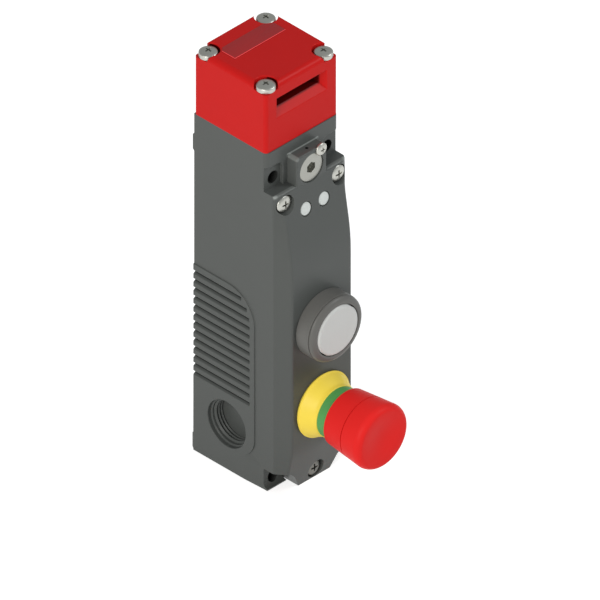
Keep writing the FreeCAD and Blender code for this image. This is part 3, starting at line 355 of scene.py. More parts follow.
def carved(body, tool):
    """Cuts one closed bmesh out of another."""
    objects = []
    for bm in (body, tool):
        bmesh.ops.recalc_face_normals(bm, faces=bm.faces)
        mesh = bpy.data.meshes.new("carving")
        bm.to_mesh(mesh)
        bm.free()
        objects.append(bpy.data.objects.new("carving", mesh))
        bpy.context.scene.collection.objects.link(objects[-1])
    cut = objects[0].modifiers.new("cut", "BOOLEAN")
    cut.operation = "DIFFERENCE"
    cut.solver = "EXACT"
    cut.object = objects[1]
    evaluated = objects[0].evaluated_get(bpy.context.evaluated_depsgraph_get())
    mesh = bpy.data.meshes.new_from_object(evaluated)
    result = bmesh.new()
    result.from_mesh(mesh)
    for used in objects:
        used_mesh = used.data
        bpy.data.objects.remove(used)
        bpy.data.meshes.remove(used_mesh)
    bpy.data.meshes.remove(mesh)
    return result


def rectangle(half_x, half_y, low, high):
    """A block that is centred on the Z axis."""
    bm = bmesh.new()
    place = Matrix.Translation((0, 0, (low + high) / 2)) @ Matrix.Diagonal(
        (2 * half_x, 2 * half_y, high - low, 1.0))
    bmesh.ops.create_cube(bm, size=1.0, matrix=place)
    return bm


def merged_copy(node, soft):
    """A welded copy of a CAD node's mesh, with its sharp edges found from the corner normals.

    The shallow steps of an edge for which soft is true are smoothed as well.
    """
    source = frame["nodes"][node].data
    mesh = source.copy()
    normals = [0.0] * (3 * len(source.loops))
    source.corner_normals.foreach_get("vector", normals)
    layer = mesh.attributes.new("cast_normal", "FLOAT_VECTOR", "CORNER")
    layer.data.foreach_set("vector", normals)
    bm = bmesh.new()
    bm.from_mesh(mesh)
    bpy.data.meshes.remove(mesh)
    bmesh.ops.remove_doubles(bm, verts=bm.verts, dist=CAD_WELD)
    cast_normal = bm.loops.layers.float_vector["cast_normal"]
    for edge in bm.edges:
        edge.smooth = True
        if len(edge.link_loops) != 2:
            continue
        first, second = edge.link_loops
        turns = [near[cast_normal].angle(far[cast_normal], 0.0) for near, far in (
            (first, second.link_loop_next), (first.link_loop_next, second))]
        edge.smooth = max(turns) < (SOFT_TURN if soft(edge) else CRISP_TURN)
    bm.loops.layers.float_vector.remove(cast_normal)
    smooth_edges = [e for e in bm.edges if e.smooth]
    bmesh.ops.dissolve_limit(bm, angle_limit=FLAT_TURN, verts=bm.verts, edges=smooth_edges,
                             delimit={"SHARP"})
    return bm


def edge_room(edge):
    """How wide an edge can be rounded before it meets its neighbours."""
    room = 1.0
    direction = (edge.verts[1].co - edge.verts[0].co).normalized()
    for loop in edge.link_loops:
        for beside in (loop.link_loop_prev.edge, loop.link_loop_next.edge):
            side = beside.verts[1].co - beside.verts[0].co
            across = side.cross(direction).length
            crossing = across > 0.4 * side.length
            if crossing:
                room = min(room, across)
    return room


def cast_shell(name, node, body, slot, rounding, share, soft=lambda edge: False, reshape=None):
    """A CAD node with its sharp edges rounded, each by its own share of the rounding."""
    bm = merged_copy(node, soft)
    if reshape:
        reshape(bm)
    weight = bm.edges.layers.float.new("bevel_weight_edge")
    for edge in bm.edges:
        if not edge.smooth and edge.is_manifold:
            edge[weight] = min(share(edge), ROUNDABLE * edge_room(edge) / rounding)
    shell = smooth_object(name, bm, finishes[slot])
    bevel = shell.modifiers.new("rounded edges", "BEVEL")
    bevel.limit_method = "WEIGHT"
    bevel.width = rounding
    bevel.segments = 2
    bevel.use_clamp_overlap = False
    bevel.miter_outer = "MITER_ARC"
    even = shell.modifiers.new("even shading", "WEIGHTED_NORMAL")
    even.weight = 100
    even.keep_sharp = True
    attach(shell, body)
    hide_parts(node)
    return shell


def coat(name, base, roughness, grain=0.006 * MM, grain_cells=2600.0, mottle=0.03, gloss=0.3,
         painted_shade=None, painted_highlight=None):
    """Sprayed or moulded surface: a fine grain, faint mottling and slightly uneven gloss.

    Where the shade mask gives 1 the colour is darkened: painted shade inside a deep opening.
    Where the highlight mask gives 1 the colour is lightened: a painted highlight along an edge.
    """
    finish = Finish(name, Base_Color=rgba(base), Roughness=roughness, Specular_IOR_Level=gloss)
    cloud = finish.noise(90.0, 3.0)
    fine = finish.noise(grain_cells, 3.0, 0.6)
    tone = finish.blend(cloud, rgba(base, 1 - mottle), rgba(base, 1 + mottle))
    # Painted shade: the colour is darkened where the shade mask is 1.
    if painted_shade:
        tone = finish.blend(painted_shade(finish), tone, rgba(base, 0.15))
    # Painted highlight: the colour is lightened where the highlight mask is 1.
    if painted_highlight:
        tone = finish.blend(painted_highlight(finish), tone, rgba(base, 3.6))
    finish.drive("Base Color", tone)
    finish.drive("Roughness", roughness - 0.03 + cloud * 0.06 + fine * 0.02)
    finish.drive("Normal", finish.bump(fine, grain))
    return finish.material


def slot_inside(finish):
    """Mask of painted shade: 1 behind the throat of the tongue slot and 0 on the outside of the head.
    """
    x, y, z = finish.along_mm()
    low, high = (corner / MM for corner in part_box("head_housing"))
    throat, half_width, roof, back_wall = 2.6, 12.4, 0.6, 1.0
    across = half_width - abs(x)
    return (y.above(low.y + throat, 0.8) * across.above(0.0, BRINK)
            * (high.z - roof - z).above(0.0, BRINK) * (high.y - back_wall - y).above(0.0, BRINK))


def red_painted_shade(finish):
    """Mask of painted shade on the head: 1 in the tongue slot and in a thin band round the label plate.
    """
    return slot_inside(finish) + plate_painted_shadow(finish)


# Holes that get painted shade inside: how far from the middle and how high their axis stands, their
# radius and where their painted shade begins. These and the other places of the finishes are in
# millimetres.
PAINTED_SHADE_HOLES = ((15.0, 71.7, 2.85, -41.0), (14.8, 61.7, 4.05, -44.5), (15.0, -71.7, 2.85, -41.4))
WIRE_HOLE_Y = -43.5
TURRET_TOP = 80.2
SHOULDER_TOP = 66.8
BRINK = 0.2  # how softly the dark inside of an opening begins


def housing_painted_shade(finish):
    """Mask of painted shade: 1 in the side grooves, the mounting holes, the wire hole and the
    counterbore bottoms.
    """
    x, y, z = finish.along_mm()
    side = abs(x)
    groove = ((19.7 - side).above(0.0, 0.4) * (side - 18.6).above(0.0, BRINK)
              * (y + 32.0).above(0.0, BRINK) * (-1.5 - y).above(0.0, BRINK)
              * (z + 43.0).above(0.0, BRINK) * (14.0 - z).above(0.0, BRINK))
    shade = groove * 0.75
    before_back = (-1.5 - y).above(0.0, 1.0)
    for centre_x, centre_z, radius, front in PAINTED_SHADE_HOLES:
        inside = (radius - distance(side - centre_x, z - centre_z)).above(0.0, 0.25)
        shade = shade + inside * (y - front).above(0.0, 1.0) * before_back * 0.85
    wire = (0.9 - distance(x, y - WIRE_HOLE_Y)).above(0.0, BRINK)
    return shade + wire * (79.9 - z).above(0.0, 0.4)


def distance(first, second):
    """How far a point lies from a line along which both coordinates are nil."""
    return (first * first + second * second) ** 0.5


def near_line(first, second, radius, soft=0.6):
    """1 close to a line along which two coordinates are both nil, 0 beyond the radius."""
    return (radius - distance(first, second)).above(0.0, radius * soft)


def painted_edge_highlights(finish):
    """Mask of painted highlights: 1 on the edges of the turret and of the shoulders that stand in front
    of the neck.
    """
    x, y, z = finish.along_mm()
    side = abs(x)
    over_turret = (8.6 - side).above(0.0, 0.6)
    beside_turret = (side - 8.8).above(0.0, 0.6)
    before_neck = (-41.2 - y).above(0.0, 0.3)
    turret_side = near_line(side - 7.9, z - 79.6, 1.0) * before_neck
    turret_back = near_line(y + 41.4, z - TURRET_TOP, 0.34) * over_turret
    turret_front = near_line(y + 46.5, z - TURRET_TOP, 0.42) * over_turret
    corner = near_line(side - 19.4, z - SHOULDER_TOP, 1.1, 1.0)
    corner = corner * (-44.6 - y).above(0.0, 0.8)
    shoulder = near_line(y + 45.2, z - SHOULDER_TOP, 0.75) * beside_turret
    return turret_side * 0.45 + turret_back * 0.7 + turret_front * 0.42 + shoulder * 0.32 + corner * 0.6


def plate_painted_shadow(finish):
    """Mask of a painted shadow: 1 in a thin band on the head along the front and left edges of the
    label plate.
    """
    x, y, z = finish.along_mm()
    right, left, front, back = 15.0, -13.35, -16.95, -7.8
    half_band, soft = 0.16, 0.12
    on_top = (z - 115.0).above(0.0, BRINK)
    along_front = (half_band - abs(y - front)).above(0.0, soft) * between(x, left, right)
    along_left = (half_band - abs(x - left)).above(0.0, soft) * between(y, front, back)
    return (along_front + along_left) * on_top * 0.5


def plate_painted_highlight(finish):
    """Mask of a painted highlight: 1 on the front and left edges of the label plate itself."""
    x, y, _ = finish.along_mm()
    front, left, width, soft = -16.8, -13.2, 0.24, 0.14
    return (width - (y - front)).above(0.0, soft) + (width - (x - left)).above(0.0, soft)


def between(value, low, high):
    return (value - low).above(0.0, BRINK) * (high - value).above(0.0, BRINK)


def plated(name, base, roughness, turned_about=None):
    """Plated metal, with fine rings where it was turned."""
    finish = Finish(name, Base_Color=rgba(base), Roughness=roughness, Metallic=1.0)
    cloud = finish.noise(220.0, 4.0, 0.6)
    fine = finish.noise(5200.0, 2.0)
    height = fine
    if turned_about:
        x, _, z = finish.along()
        across, up = x - turned_about[0], z - turned_about[1]
        rings = finish.node("ShaderNodeTexNoise", {"noise_dimensions": "1D"},
                            {"W": distance(across, up), "Scale": 7000.0, "Detail": 1.0})["Fac"]
        height = fine * 0.4 + rings
    finish.drive("Base Color", finish.blend(cloud, rgba(base, 0.93), rgba(base, 1.05)))
    finish.drive("Roughness", roughness - 0.05 + cloud * 0.12)
    finish.drive("Normal", finish.bump(height, 0.004 * MM))
    return finish.material


def wound(name, base, pitch):
    """Turns of enamelled wire side by side along the coil's axis, which runs along Y."""
    finish = Finish(name, Base_Color=rgba(base), Roughness=0.3, Metallic=0.8)
    _, y, _ = finish.along()
    turns = y.zigzag(pitch / 2) / (pitch / 2)
    finish.drive("Base Color", finish.blend(turns, rgba(base, 0.45), rgba(base, 1.1)))
    finish.drive("Normal", finish.bump(turns, 0.1 * MM))
    return finish.material


def rubber(name, base):
    """Dull moulded rubber with a dusty bloom."""
    finish = Finish(name, Base_Color=rgba(base), Roughness=0.8)
    bloom = finish.noise(400.0, 4.0, 0.7)
    finish.drive("Base Color", finish.blend(bloom, rgba(base, 0.8), rgba(base, 1.8)))
    finish.drive("Roughness", 0.7 + bloom * 0.2)
    finish.drive("Normal", finish.bump(bloom, 0.01 * MM))
    return finish.material


def board(name, base):
    """Circuit board: copper tracks show through the lacquer as a lighter grid."""
    finish = Finish(name, Base_Color=rgba(base), Roughness=0.35)
    x, _, z = finish.along()
    half_pitch = 0.6 * MM
    upright, level = ((place.zigzag(half_pitch) / half_pitch).above(0.75, 0.1) for place in (x, z))
    tracks = upright * 0.6 + level * 0.4
    finish.drive("Base Color", finish.blend(tracks, rgba(base), rgba((0.05, 0.26, 0.08))))
    finish.drive("Normal", finish.bump(tracks, 0.03 * MM))
    return finish.material


def milky(name, base, roughness):
    """White diffuser plastic: light enters a little way, and the tone is faintly cloudy."""
    finish = Finish(name, Base_Color=rgba(base), Roughness=roughness, Subsurface_Weight=0.25,
                    Subsurface_Radius=(1.0, 1.0, 1.0), Subsurface_Scale=0.8 * MM)
    cloud = finish.noise(160.0, 3.0)
    fine = finish.noise(3200.0, 2.0)
    finish.drive("Base Color", finish.blend(cloud, rgba(base, 0.985), rgba(base, 1.015)))
    finish.drive("Roughness", roughness - 0.02 + cloud * 0.05)
    finish.drive("Normal", finish.bump(fine, 0.003 * MM))
    return finish.material


def make_finishes():
    """Every finish of the switch, by the record's slot."""
    scene = bpy.context.scene
    housing, controls = scene.interlock_housing, scene.interlock_controls
    disc = middle("release_disc")
    return {
        # Painted shade in the grooves and holes, painted highlights on the turret and shoulder edges.
        "die_cast_grey": coat("die_cast_grey", housing.coat, 0.36, grain=0.012 * MM, gloss=0.22,
                              painted_shade=housing_painted_shade, painted_highlight=painted_edge_highlights),
        # Painted shade in the tongue slot and a painted shadow along the label plate.
        "head_red": coat("head_red", housing.head_coat, 0.36, grain=0.010 * MM, gloss=0.08,
                         painted_shade=red_painted_shade),
        # Painted highlight on the front and left edges of the label plate.
        "label": coat("label", housing.label, 0.5, grain=0.02 * MM, grain_cells=5000.0, mottle=0.05,
                      painted_highlight=plate_painted_highlight),
        "estop_red": coat("estop_red", controls.knob, 0.42, gloss=0.07),
        "lens_white": milky("lens_white", controls.lens, 0.4),
        "window_white": milky("window_white", (0.66, 0.69, 0.67), 0.35),
        "turned_zinc": plated("turned_zinc", (0.36, 0.36, 0.33), 0.42, (disc.x, disc.z)),
        "copper_winding": wound("copper_winding", (0.55, 0.22, 0.10), 0.35 * MM),
        "seal_rubber": rubber("seal_rubber", (0.015, 0.015, 0.015)),
        "board_green": board("board_green", (0.02, 0.15, 0.05)),
        **{name: kind(name, base, roughness) for kind, name, base, roughness in (
            (coat, "bezel_grey", controls.bezel, 0.42),
            (coat, "estop_yellow", controls.ring, 0.42),
            (coat, "estop_green", controls.collar, 0.42),
            (coat, "black_plastic", (0.02, 0.02, 0.02), 0.45),
            (coat, "cream_plastic", (0.60, 0.58, 0.50), 0.45),
            (plated, "zinc_steel", scene.interlock_fasteners.zinc, 0.40),
            # A darker copy of the zinc: painted shade for the chin screw deep in its hole.
            (plated, "sheltered_zinc", (0.20, 0.20, 0.185), 0.5),
            (plated, "spring_steel", (0.45, 0.45, 0.46), 0.3),
            (plated, "tool_steel", (0.38, 0.38, 0.39), 0.25),
            (plated, "bronze", (0.60, 0.42, 0.20), 0.4))},
    }


class PieceOperator:
    """What the operators share: the finishes and the settings."""
    bl_options = {"REGISTER", "UNDO"}

    def execute(self, context):
        self.settings(context.scene)
        if not finishes:
            finishes.update(make_finishes())
        self.build()
        return {"FINISHED"}

    def settings(self, scene):
        self.housing = scene.interlock_housing
        self.fasteners = scene.interlock_fasteners
        self.controls = scene.interlock_controls
        self.view = scene.interlock_stage

    def ring(self, name, profile, centre, body, slot, node):
        """One turned piece that takes the place of a CAD node; its profile is in millimetres."""
        bm = turned(metres(profile), centre, steps=self.controls.steps)
        add_piece(name, bm, body, slot, 25.0, (node,))


FLOOR_REACH, FLOOR_DROP, FLOOR_GLOW = 3.0, 0.02 * MM, 0.62
SKY_COLOUR, SKY_STRENGTH = (0.97, 1.0, 1.0, 1.0), 0.44
# The lamps: which way each stands from the switch, its watts, its width in metres and its colour.
LAMPS = {
    "key": ((-1.5, -0.45, 0.6), 4.3, 0.45, (1.0, 0.975, 0.94)),
    "front edges": ((1.0, -1.0, 1.15), 2.4, 0.25, (0.96, 0.98, 1.0)),
}
LAMP_DISTANCE, CAMERA_DISTANCE = 0.9, 0.6
CAMERA_AIM = Vector((9.47, -30.27, -4.4)) * MM


class INTERLOCK_OT_stage(PieceOperator, bpy.types.Operator):
    """Add the floor, the lamps and the camera"""
    bl_idname = "interlock.stage"
    bl_label = "Stage"

    def build(self):
        self.floor()
        self.lamps()
        self.camera()

    def floor(self):
        """A pale sheet that also glows where it is seen, so that it stays white in the shade."""
        sheet = Finish("pale_floor", Base_Color=(0.8, 0.8, 0.8, 1.0), Roughness=0.9)
        path = sheet.node("ShaderNodeLightPath")
        seen = path["Is Camera Ray"].larger(path["Is Glossy Ray"]).larger(path["Is Transmission Ray"])
        glow = sheet.node("ShaderNodeEmission", None, {"Color": (1, 1, 1, 1),
                                                       "Strength": seen * FLOOR_GLOW})
        matt = Value(sheet, sheet.shader.outputs[0])
        lit = sheet.node("ShaderNodeAddShader", None, {0: matt, 1: glow["Emission"]})
        output = next(n for n in sheet.tree.nodes if n.type == "OUTPUT_MATERIAL")
        sheet.tree.links.new(lit["Shader"].socket, output.inputs["Surface"])
        bm = bmesh.new()
        level = Matrix.Translation((0, 0, frame_box[0].z - FLOOR_DROP))
        bmesh.ops.create_grid(bm, x_segments=1, y_segments=1, size=FLOOR_REACH, matrix=level)
        smooth_object("floor", bm, sheet.material)

    def lamps(self):
        world = bpy.data.worlds.new("studio")
        world.use_nodes = True
        sky = world.node_tree.nodes["Background"]
        sky.inputs["Color"].default_value = SKY_COLOUR
        sky.inputs["Strength"].default_value = SKY_STRENGTH * self.view.sky
        bpy.context.scene.world = world
        target = (frame_box[0] + frame_box[1]) / 2
        for name, (direction, watts, width, light) in LAMPS.items():
            data = bpy.data.lights.new(name, "AREA")
            data.color = light
            data.shape = "DISK"
            data.size = width
            data.energy = watts * self.view.key
            lamp = bpy.data.objects.new(name, data)
            bpy.context.scene.collection.objects.link(lamp)
            lamp.location = target + Vector(direction).normalized() * LAMP_DISTANCE
            lamp.rotation_euler = (target - lamp.location).to_track_quat("-Z", "Y").to_euler()

    def camera(self):
        azimuth, elevation = self.view.azimuth, self.view.elevation
        level = math.cos(elevation)
        back = Vector((math.sin(azimuth) * level, -math.cos(azimuth) * level, math.sin(elevation)))
        data = bpy.data.cameras.new("camera")
        data.type = "ORTHO"
        data.ortho_scale = self.view.frame_width
        camera = bpy.data.objects.new("camera", data)
        bpy.context.scene.collection.objects.link(camera)
        camera.location = CAMERA_AIM + back * CAMERA_DISTANCE
        camera.rotation_euler = (-back).to_track_quat("-Z", "Y").to_euler()
        bpy.context.scene.camera = camera
        bpy.context.scene.view_settings.view_transform = "Standard"


SIDE = 20.5 * MM  # how far the sides stand from the middle
JOINT_Y = -39.5 * MM
ENTRY_Y, ENTRY_Z = -19.5 * MM, -54.5 * MM
CREST, ROOT = 9.2 * MM, 10.0 * MM
GROOVE_TOP, GROOVE_PITCH, GROOVES = 9.6 * MM, 4.03 * MM, 13
TOUCH = 0.05 * MM  # points this close to a plane lie on it


def straighten_foot(vertex):
    """Carries the outer edge of a side panel's foot out to the side."""
    x, y, z = vertex.co
    on_edge = 20.05 * MM < abs(x) < 20.45 * MM and abs(y + 29.7 * MM) < 2 * TOUCH
    if on_edge and z < -63.5 * MM:
        vertex.co.x = math.copysign(SIDE, x)


def narrow_groove(vertex):
    """Draws the lips of a side groove closer to the groove's middle."""
    x, y, z = vertex.co
    nearest = min(max(round((GROOVE_TOP - z) / GROOVE_PITCH), 0), GROOVES - 1)
    off = z - (GROOVE_TOP - GROOVE_PITCH * nearest)
    on_lip = abs(x) > SIDE - TOUCH and abs(off) < 1.32 * MM and y > -33.0 * MM
    deepest = min(abs(edge.other_vert(vertex).co.x) for edge in vertex.link_edges)
    if on_lip and deepest < 19.2 * MM:
        vertex.co.z -= off * 0.3


def open_entry(vertex):
    """Widens the bore of a conduit entry from the crests of its threads to their roots."""
    x, y, z = vertex.co
    across = y - ENTRY_Y
    for inside, offset in ((abs(x) > 12 * MM, Vector((0, across, z - ENTRY_Z))),
                           (z < -60 * MM, Vector((x, across, 0)))):
        if inside and abs(offset.length - CREST) < 0.03 * MM:
            vertex.co += offset * (ROOT / CREST - 1)
            break


class INTERLOCK_OT_housing(PieceOperator, bpy.types.Operator):
    """Finish the base: rounded edges and threads in the conduit entries"""
    bl_idname = "interlock.housing"
    bl_label = "Base"

    def build(self):
        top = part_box("base_housing")[1].z
        cover_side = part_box("front_cover")[1].x

        def share(edge):
            centre = (edge.verts[0].co + edge.verts[1].co) / 2
            on_joint = all(abs(v.co.y - JOINT_Y) < TOUCH for v in edge.verts)
            on_top = all(abs(v.co.z - top) < TOUCH for v in edge.verts)
            at_foot = centre.z < -65.5 * MM or (centre.y < -29.0 * MM and centre.z < -52.0 * MM)
            fading = abs(centre.x) > cover_side - 0.2 * MM and at_foot
            return 0.0 if on_joint or on_top or fading else 1.0

        def reshape(bm):
            for vertex in bm.verts:
                straighten_foot(vertex)
                narrow_groove(vertex)
                open_entry(vertex)

        cast_shell("base_shell", "base_housing", "housing", "die_cast_grey",
                   self.housing.edge_round, share, reshape=reshape)
        self.threads()

    def threads(self):
        """Helical thread turns in the three conduit entries."""
        pitch = self.housing.thread_pitch
        root_half, crest_half = 0.48 * pitch, 0.06 * pitch
        buried, steps_round = 0.1 * MM, 40
        side_mouth, bottom_mouth = 18.3 * MM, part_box("base_housing")[0].z + 2.2 * MM
        parts = []
        for mouth, axis, turns in (((-side_mouth, ENTRY_Y, ENTRY_Z), (-1, 0, 0), 3.2),
                                   ((side_mouth, ENTRY_Y, ENTRY_Z), (1, 0, 0), 3.2),
                                   ((0, ENTRY_Y, bottom_mouth), -UP, 6.0)):
            bm = bmesh.new()
            line = [bm.verts.new((radius, 0, height)) for radius, height in (
                (ROOT + buried, -root_half), (CREST, -crest_half), (CREST, crest_half),
                (ROOT + buried, root_half))]
            section = bm.faces.new(line)
            bmesh.ops.spin(bm, geom=[section, *section.edges, *section.verts], cent=(0, 0, 0),
                           axis=(0, 0, 1), dvec=(0, 0, -pitch / steps_round), angle=math.tau * turns,
                           steps=round(steps_round * turns))
            place = Matrix.Translation(mouth) @ turn_to(axis) @ Matrix.Translation((0, 0, -pitch / 2))
            parts.append(moved(bm, place))
        add_piece("conduit_threads", joined(*parts), "housing", "die_cast_grey", 20.0)


class INTERLOCK_OT_cover(PieceOperator, bpy.types.Operator):
    """Finish the front cover with its release turret"""
    bl_idname = "interlock.cover"
    bl_label = "Cover"

    def build(self):
        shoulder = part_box("cover_screws")[1].z + 0.8 * MM

        def on_shoulder(edge):
            return all(v.co.z > shoulder and v.co.y < -43.0 * MM for v in edge.verts)

        foot, inner, top, radius, slack = -76.0 * MM, 9.4 * MM, -66.2 * MM, 4.0 * MM, 0.01 * MM
        foot_side, lean, curl = 8.7 * MM, 6.9 * MM, 1.6

        def reshape(bm):
            """Slants the walls of the cut in the foot, which stand upright in the CAD node."""
            for vertex in bm.verts:
                side, z = abs(vertex.co.x), vertex.co.z
                off_arc = abs(math.hypot(side - inner - radius, z - top + radius) - radius)
                on_arc = side < inner + radius + slack and z > top - radius and off_arc < 4 * slack
                on_wall = abs(side - inner) < 2 * slack and z <= top - radius + slack
                if on_arc or on_wall:
                    up = (z - foot) / (top - foot)
                    vertex.co.x = math.copysign(foot_side + lean * up ** curl, vertex.co.x)

        cast_shell("cover_shell", "front_cover", "housing", "die_cast_grey",
                   self.housing.edge_round, lambda edge: 0.0, on_shoulder, reshape)


HEAD_SCREW_RADIUS = 3.9  # in millimetres


def head_screw_places():
    """Where the axes of the four head screws stand, the front one before the back one."""
    low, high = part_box("head_screws")
    inset = HEAD_SCREW_RADIUS * MM
    return [(x, y) for x in (low.x + inset, high.x - inset) for y in (low.y + inset, high.y - inset)]


class INTERLOCK_OT_head(PieceOperator, bpy.types.Operator):
    """Finish the red head with its tongue slot and bare label plate"""
    bl_idname = "interlock.head"
    bl_label = "Head"

    def build(self):
        low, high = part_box("head_housing")

        def share(edge):
            first, second = (v.co for v in edge.verts)
            if min(first.z, second.z) > high.z - 0.02 * MM:
                return 1.0
            in_mouth = abs(first.x) < 14.5 * MM and first.z > low.z + 12 * MM and first.y < -37.0 * MM
            return 0.5 if in_mouth else 0.0

        def reshape(bm):
            """Narrows the four screw pockets to the heads of their screws."""
            cast_radius, radius = 5.2 * MM, 4.75 * MM
            places = head_screw_places()
            for vertex in bm.verts:
                for x, y in places:
                    away = Vector((vertex.co.x - x, vertex.co.y - y, 0.0))
                    if abs(away.length - cast_radius) < 0.03 * MM and vertex.co.z > low.z + 1 * MM:
                        vertex.co -= away * (1 - radius / cast_radius)

        cast_shell("head_shell", "head_housing", "housing", "head_red", 0.35 * MM, share,
                   reshape=reshape)
        self.label(high.z)

    def label(self, head_top):
        """The bare plate in front of the back screws, which cut into its corners."""
        buried, proud, rim_round, pocket_radius = 0.4 * MM, 0.14 * MM, 0.13 * MM, 5.5 * MM
        bm = rectangle(14.1 * MM, 4.5 * MM, -buried, proud)
        rim = [e for e in bm.edges if all(v.co.z > 0 for v in e.verts)]
        bmesh.ops.bevel(bm, geom=rim, offset=rim_round, offset_type="OFFSET", segments=2, profile=0.5,
                        affect="EDGES", material=-1)
        bmesh.ops.translate(bm, verts=bm.verts, vec=(0.9 * MM, -12.3 * MM, head_top))
        back_screws = head_screw_places()[1::2]
        for x, y in back_screws:
            bm = carved(bm, column(64, pocket_radius, 4 * MM, (x, y, head_top)))
        add_piece("label_plate", bm, "housing", "head_red", finish="label")


def arc(centre_radius, centre_height, half_radius, half_height, start, end, count=8):
    """Points of a profile along a quarter of an ellipse; the angles are in degrees from outwards."""
    points = []
    for step in range(count + 1):
        angle = math.radians(start + (end - start) * step / count)
        points.append((centre_radius + half_radius * math.cos(angle),
                       centre_height + half_height * math.sin(angle), 0))
    return points


def metres(profile):
    """A profile in millimetres, brought to metres."""
    return [tuple(value * MM for value in point) for point in profile]


class INTERLOCK_OT_button(PieceOperator, bpy.types.Operator):
    """Add the lens and the grooved bezel of the push button"""
    bl_idname = "interlock.button"
    bl_label = "Push button"

    def build(self):
        low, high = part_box("button_bezel")
        rise, groove, lip, lip_round, well, bore, barrel = 8.9, 6.9, 11.7, 0.35, -3.0, 9.2, 11.0
        control_face = low.y + rise * MM
        centre = Vector(((low.x + high.x) / 2, control_face, (low.z + high.z) / 2))
        barrel_end = (control_face - high.y) / MM
        outer = (high.x - low.x) / 2 / MM
        profile = [(bore, well, 0), (lip - lip_round, well, 0), (lip - lip_round, rise - lip_round, 0)]
        profile += arc(lip, rise - lip_round, lip_round, lip_round, 180, 90, 4)
        profile += arc(lip, groove, outer - lip - 0.1, rise - groove, 90, 12, 10)
        profile += [(outer - 0.28, groove + 0.22, 0.06), (outer - 0.5, groove + 0.1, 0),
                    (outer - 0.5, groove - 0.1, 0), (outer - 0.02, groove - 0.22, 0.06),
                    (outer, groove - 0.6, 0), (outer, 0.25, 0), (outer - 0.25, 0, 0), (barrel, 0, 0),
                    (barrel, barrel_end, 0), (bore, barrel_end, 0), (bore, well, 0)]
        self.ring("button_bezel_shell", profile, centre, "housing", "bezel_grey", "button_bezel")
        self.lens(centre)

    def lens(self, centre):
        low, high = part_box("button_lens")
        front, back = (centre.y - low.y) / MM, (centre.y - high.y) / MM
        radius = (high.x - low.x) / 2 / MM
        profile = [(0, back, 0), (radius, back, 0), (radius, front - 1.3, 0)]
        profile += arc(radius - 1.25, front - 1.25, 1.25, 1.25, 0, 90, 8)
        profile += [(radius - 1.9, front - 0.06, 0), (radius * 0.5, front - 0.02, 0), (0, front, 0)]
        bm = turned(metres(profile), (0, 0, 0), UP, self.controls.steps)
        for angle in (45.0, 225.0):
            turn = Matrix.Rotation(math.radians(angle), 3, "Z")
            notch = rectangle(0.45 * MM, 2.3 * MM, (front - 2.4) * MM, (front + 1) * MM)
            bmesh.ops.translate(notch, verts=notch.verts, vec=((radius + 0.05) * MM, 0, 0))
            bmesh.ops.rotate(notch, verts=notch.verts, cent=(0, 0, 0), matrix=turn)
            bm = carved(bm, notch)
        bm = moved(bm, Matrix.Translation(centre) @ turn_to(FRONT))
        add_piece("button_lens_cap", bm, "button", "lens_white", 30.0, ("button_lens",))


class INTERLOCK_OT_emergency_stop(PieceOperator, bpy.types.Operator):
    """Add the ring, the collar and the mushroom knob of the emergency stop"""
    bl_idname = "interlock.emergency_stop"
    bl_label = "Emergency stop"

    def build(self):
        low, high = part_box("estop_bezel")
        centre = Vector(((low.x + high.x) / 2, high.y, (low.z + high.z) / 2))
        foot, rim, waist, bore, rise, collar_rise = 14.0, 14.5, 11.3, 9.05, 8.2, 13.2
        ring = [(bore, 0, 0), (foot - 0.2, 0, 0), (foot, 0.2, 0), (rim, 0.9, 0.08),
                (rim - 0.05, 1.15, 0.08), (rim - 0.5, 1.35, 0.1), (12.1, 5.3, 0), (11.7, 5.9, 0),
                (11.45, 6.5, 0), (waist, 7.1, 0), (waist, rise - 0.15, 0), (waist - 0.15, rise, 0),
                (bore, rise, 0), (bore, 0, 0)]
        self.ring("stop_ring", ring, centre, "housing", "estop_yellow", "estop_bezel")
        collar = [(bore, rise, 0), (11.0, rise, 0), (11.0, collar_rise, 0.15), (bore, collar_rise, 0),
                  (bore, rise, 0)]
        self.ring("stop_collar", collar, centre, "housing", "estop_green", "estop_collar")
        self.knob(centre)

    def knob(self, centre):
        back, seam, rim_rise, front = 13.2, 23.9, 31.2, 34.4
        back_radius, rim, face, dish = 12.5, 14.3, 11.9, 1.3
        bore, cavity, cavity_end = 4.03, 11.3, back + 5.7

        def flank(height):
            return back_radius + (rim - back_radius) * (height - back) / (rim_rise - back)

        rear = [(bore, seam - 0.02, 0), (bore, cavity_end, 0), (cavity, cavity_end, 0),
                (cavity, back, 0), (back_radius - 0.25, back, 0), (flank(back) + 0.02, back + 0.25, 0),
                (flank(seam) - 0.02, seam - 0.35, 0), (flank(seam) - 0.5, seam - 0.33, 0),
                (flank(seam) - 0.5, seam - 0.02, 0), (bore, seam - 0.02, 0)]
        self.ring("knob_rear", rear, centre, "estop_head", "estop_red", "estop_knob")
        cap = [(0, seam + 4.0, 0), (bore, seam + 4.0, 0), (bore, seam, 0),
               (flank(seam) - 0.05, seam, 0), (flank(seam), seam + 0.05, 0), (rim - 0.02, rim_rise, 0)]
        cap += arc(face, rim_rise, rim - face - 0.02, front - rim_rise, 4, 90, 14)
        for step in range(1, 13):
            radius = face * (1 - step / 12)
            cap.append((radius, front - dish * (1 - (radius / face) ** 2) ** 2, 0))
        self.ring("knob_cap", cap, centre, "estop_head", "estop_red", "estop_knob_cap")


def screw(radius, side, height, shank, length):
    """The profile of a domed screw that stands on the origin with its head upwards."""
    profile = [(0, -length, 0), (shank * 0.7, -length, 0), (shank, -length + shank * 0.4, 0),
               (shank, 0, 0), (radius - 0.15, 0, 0), (radius, 0.15, 0), (radius, side, 0)]
    profile += arc(0, side, radius, height - side, 6, 90, 10)
    return metres(profile)


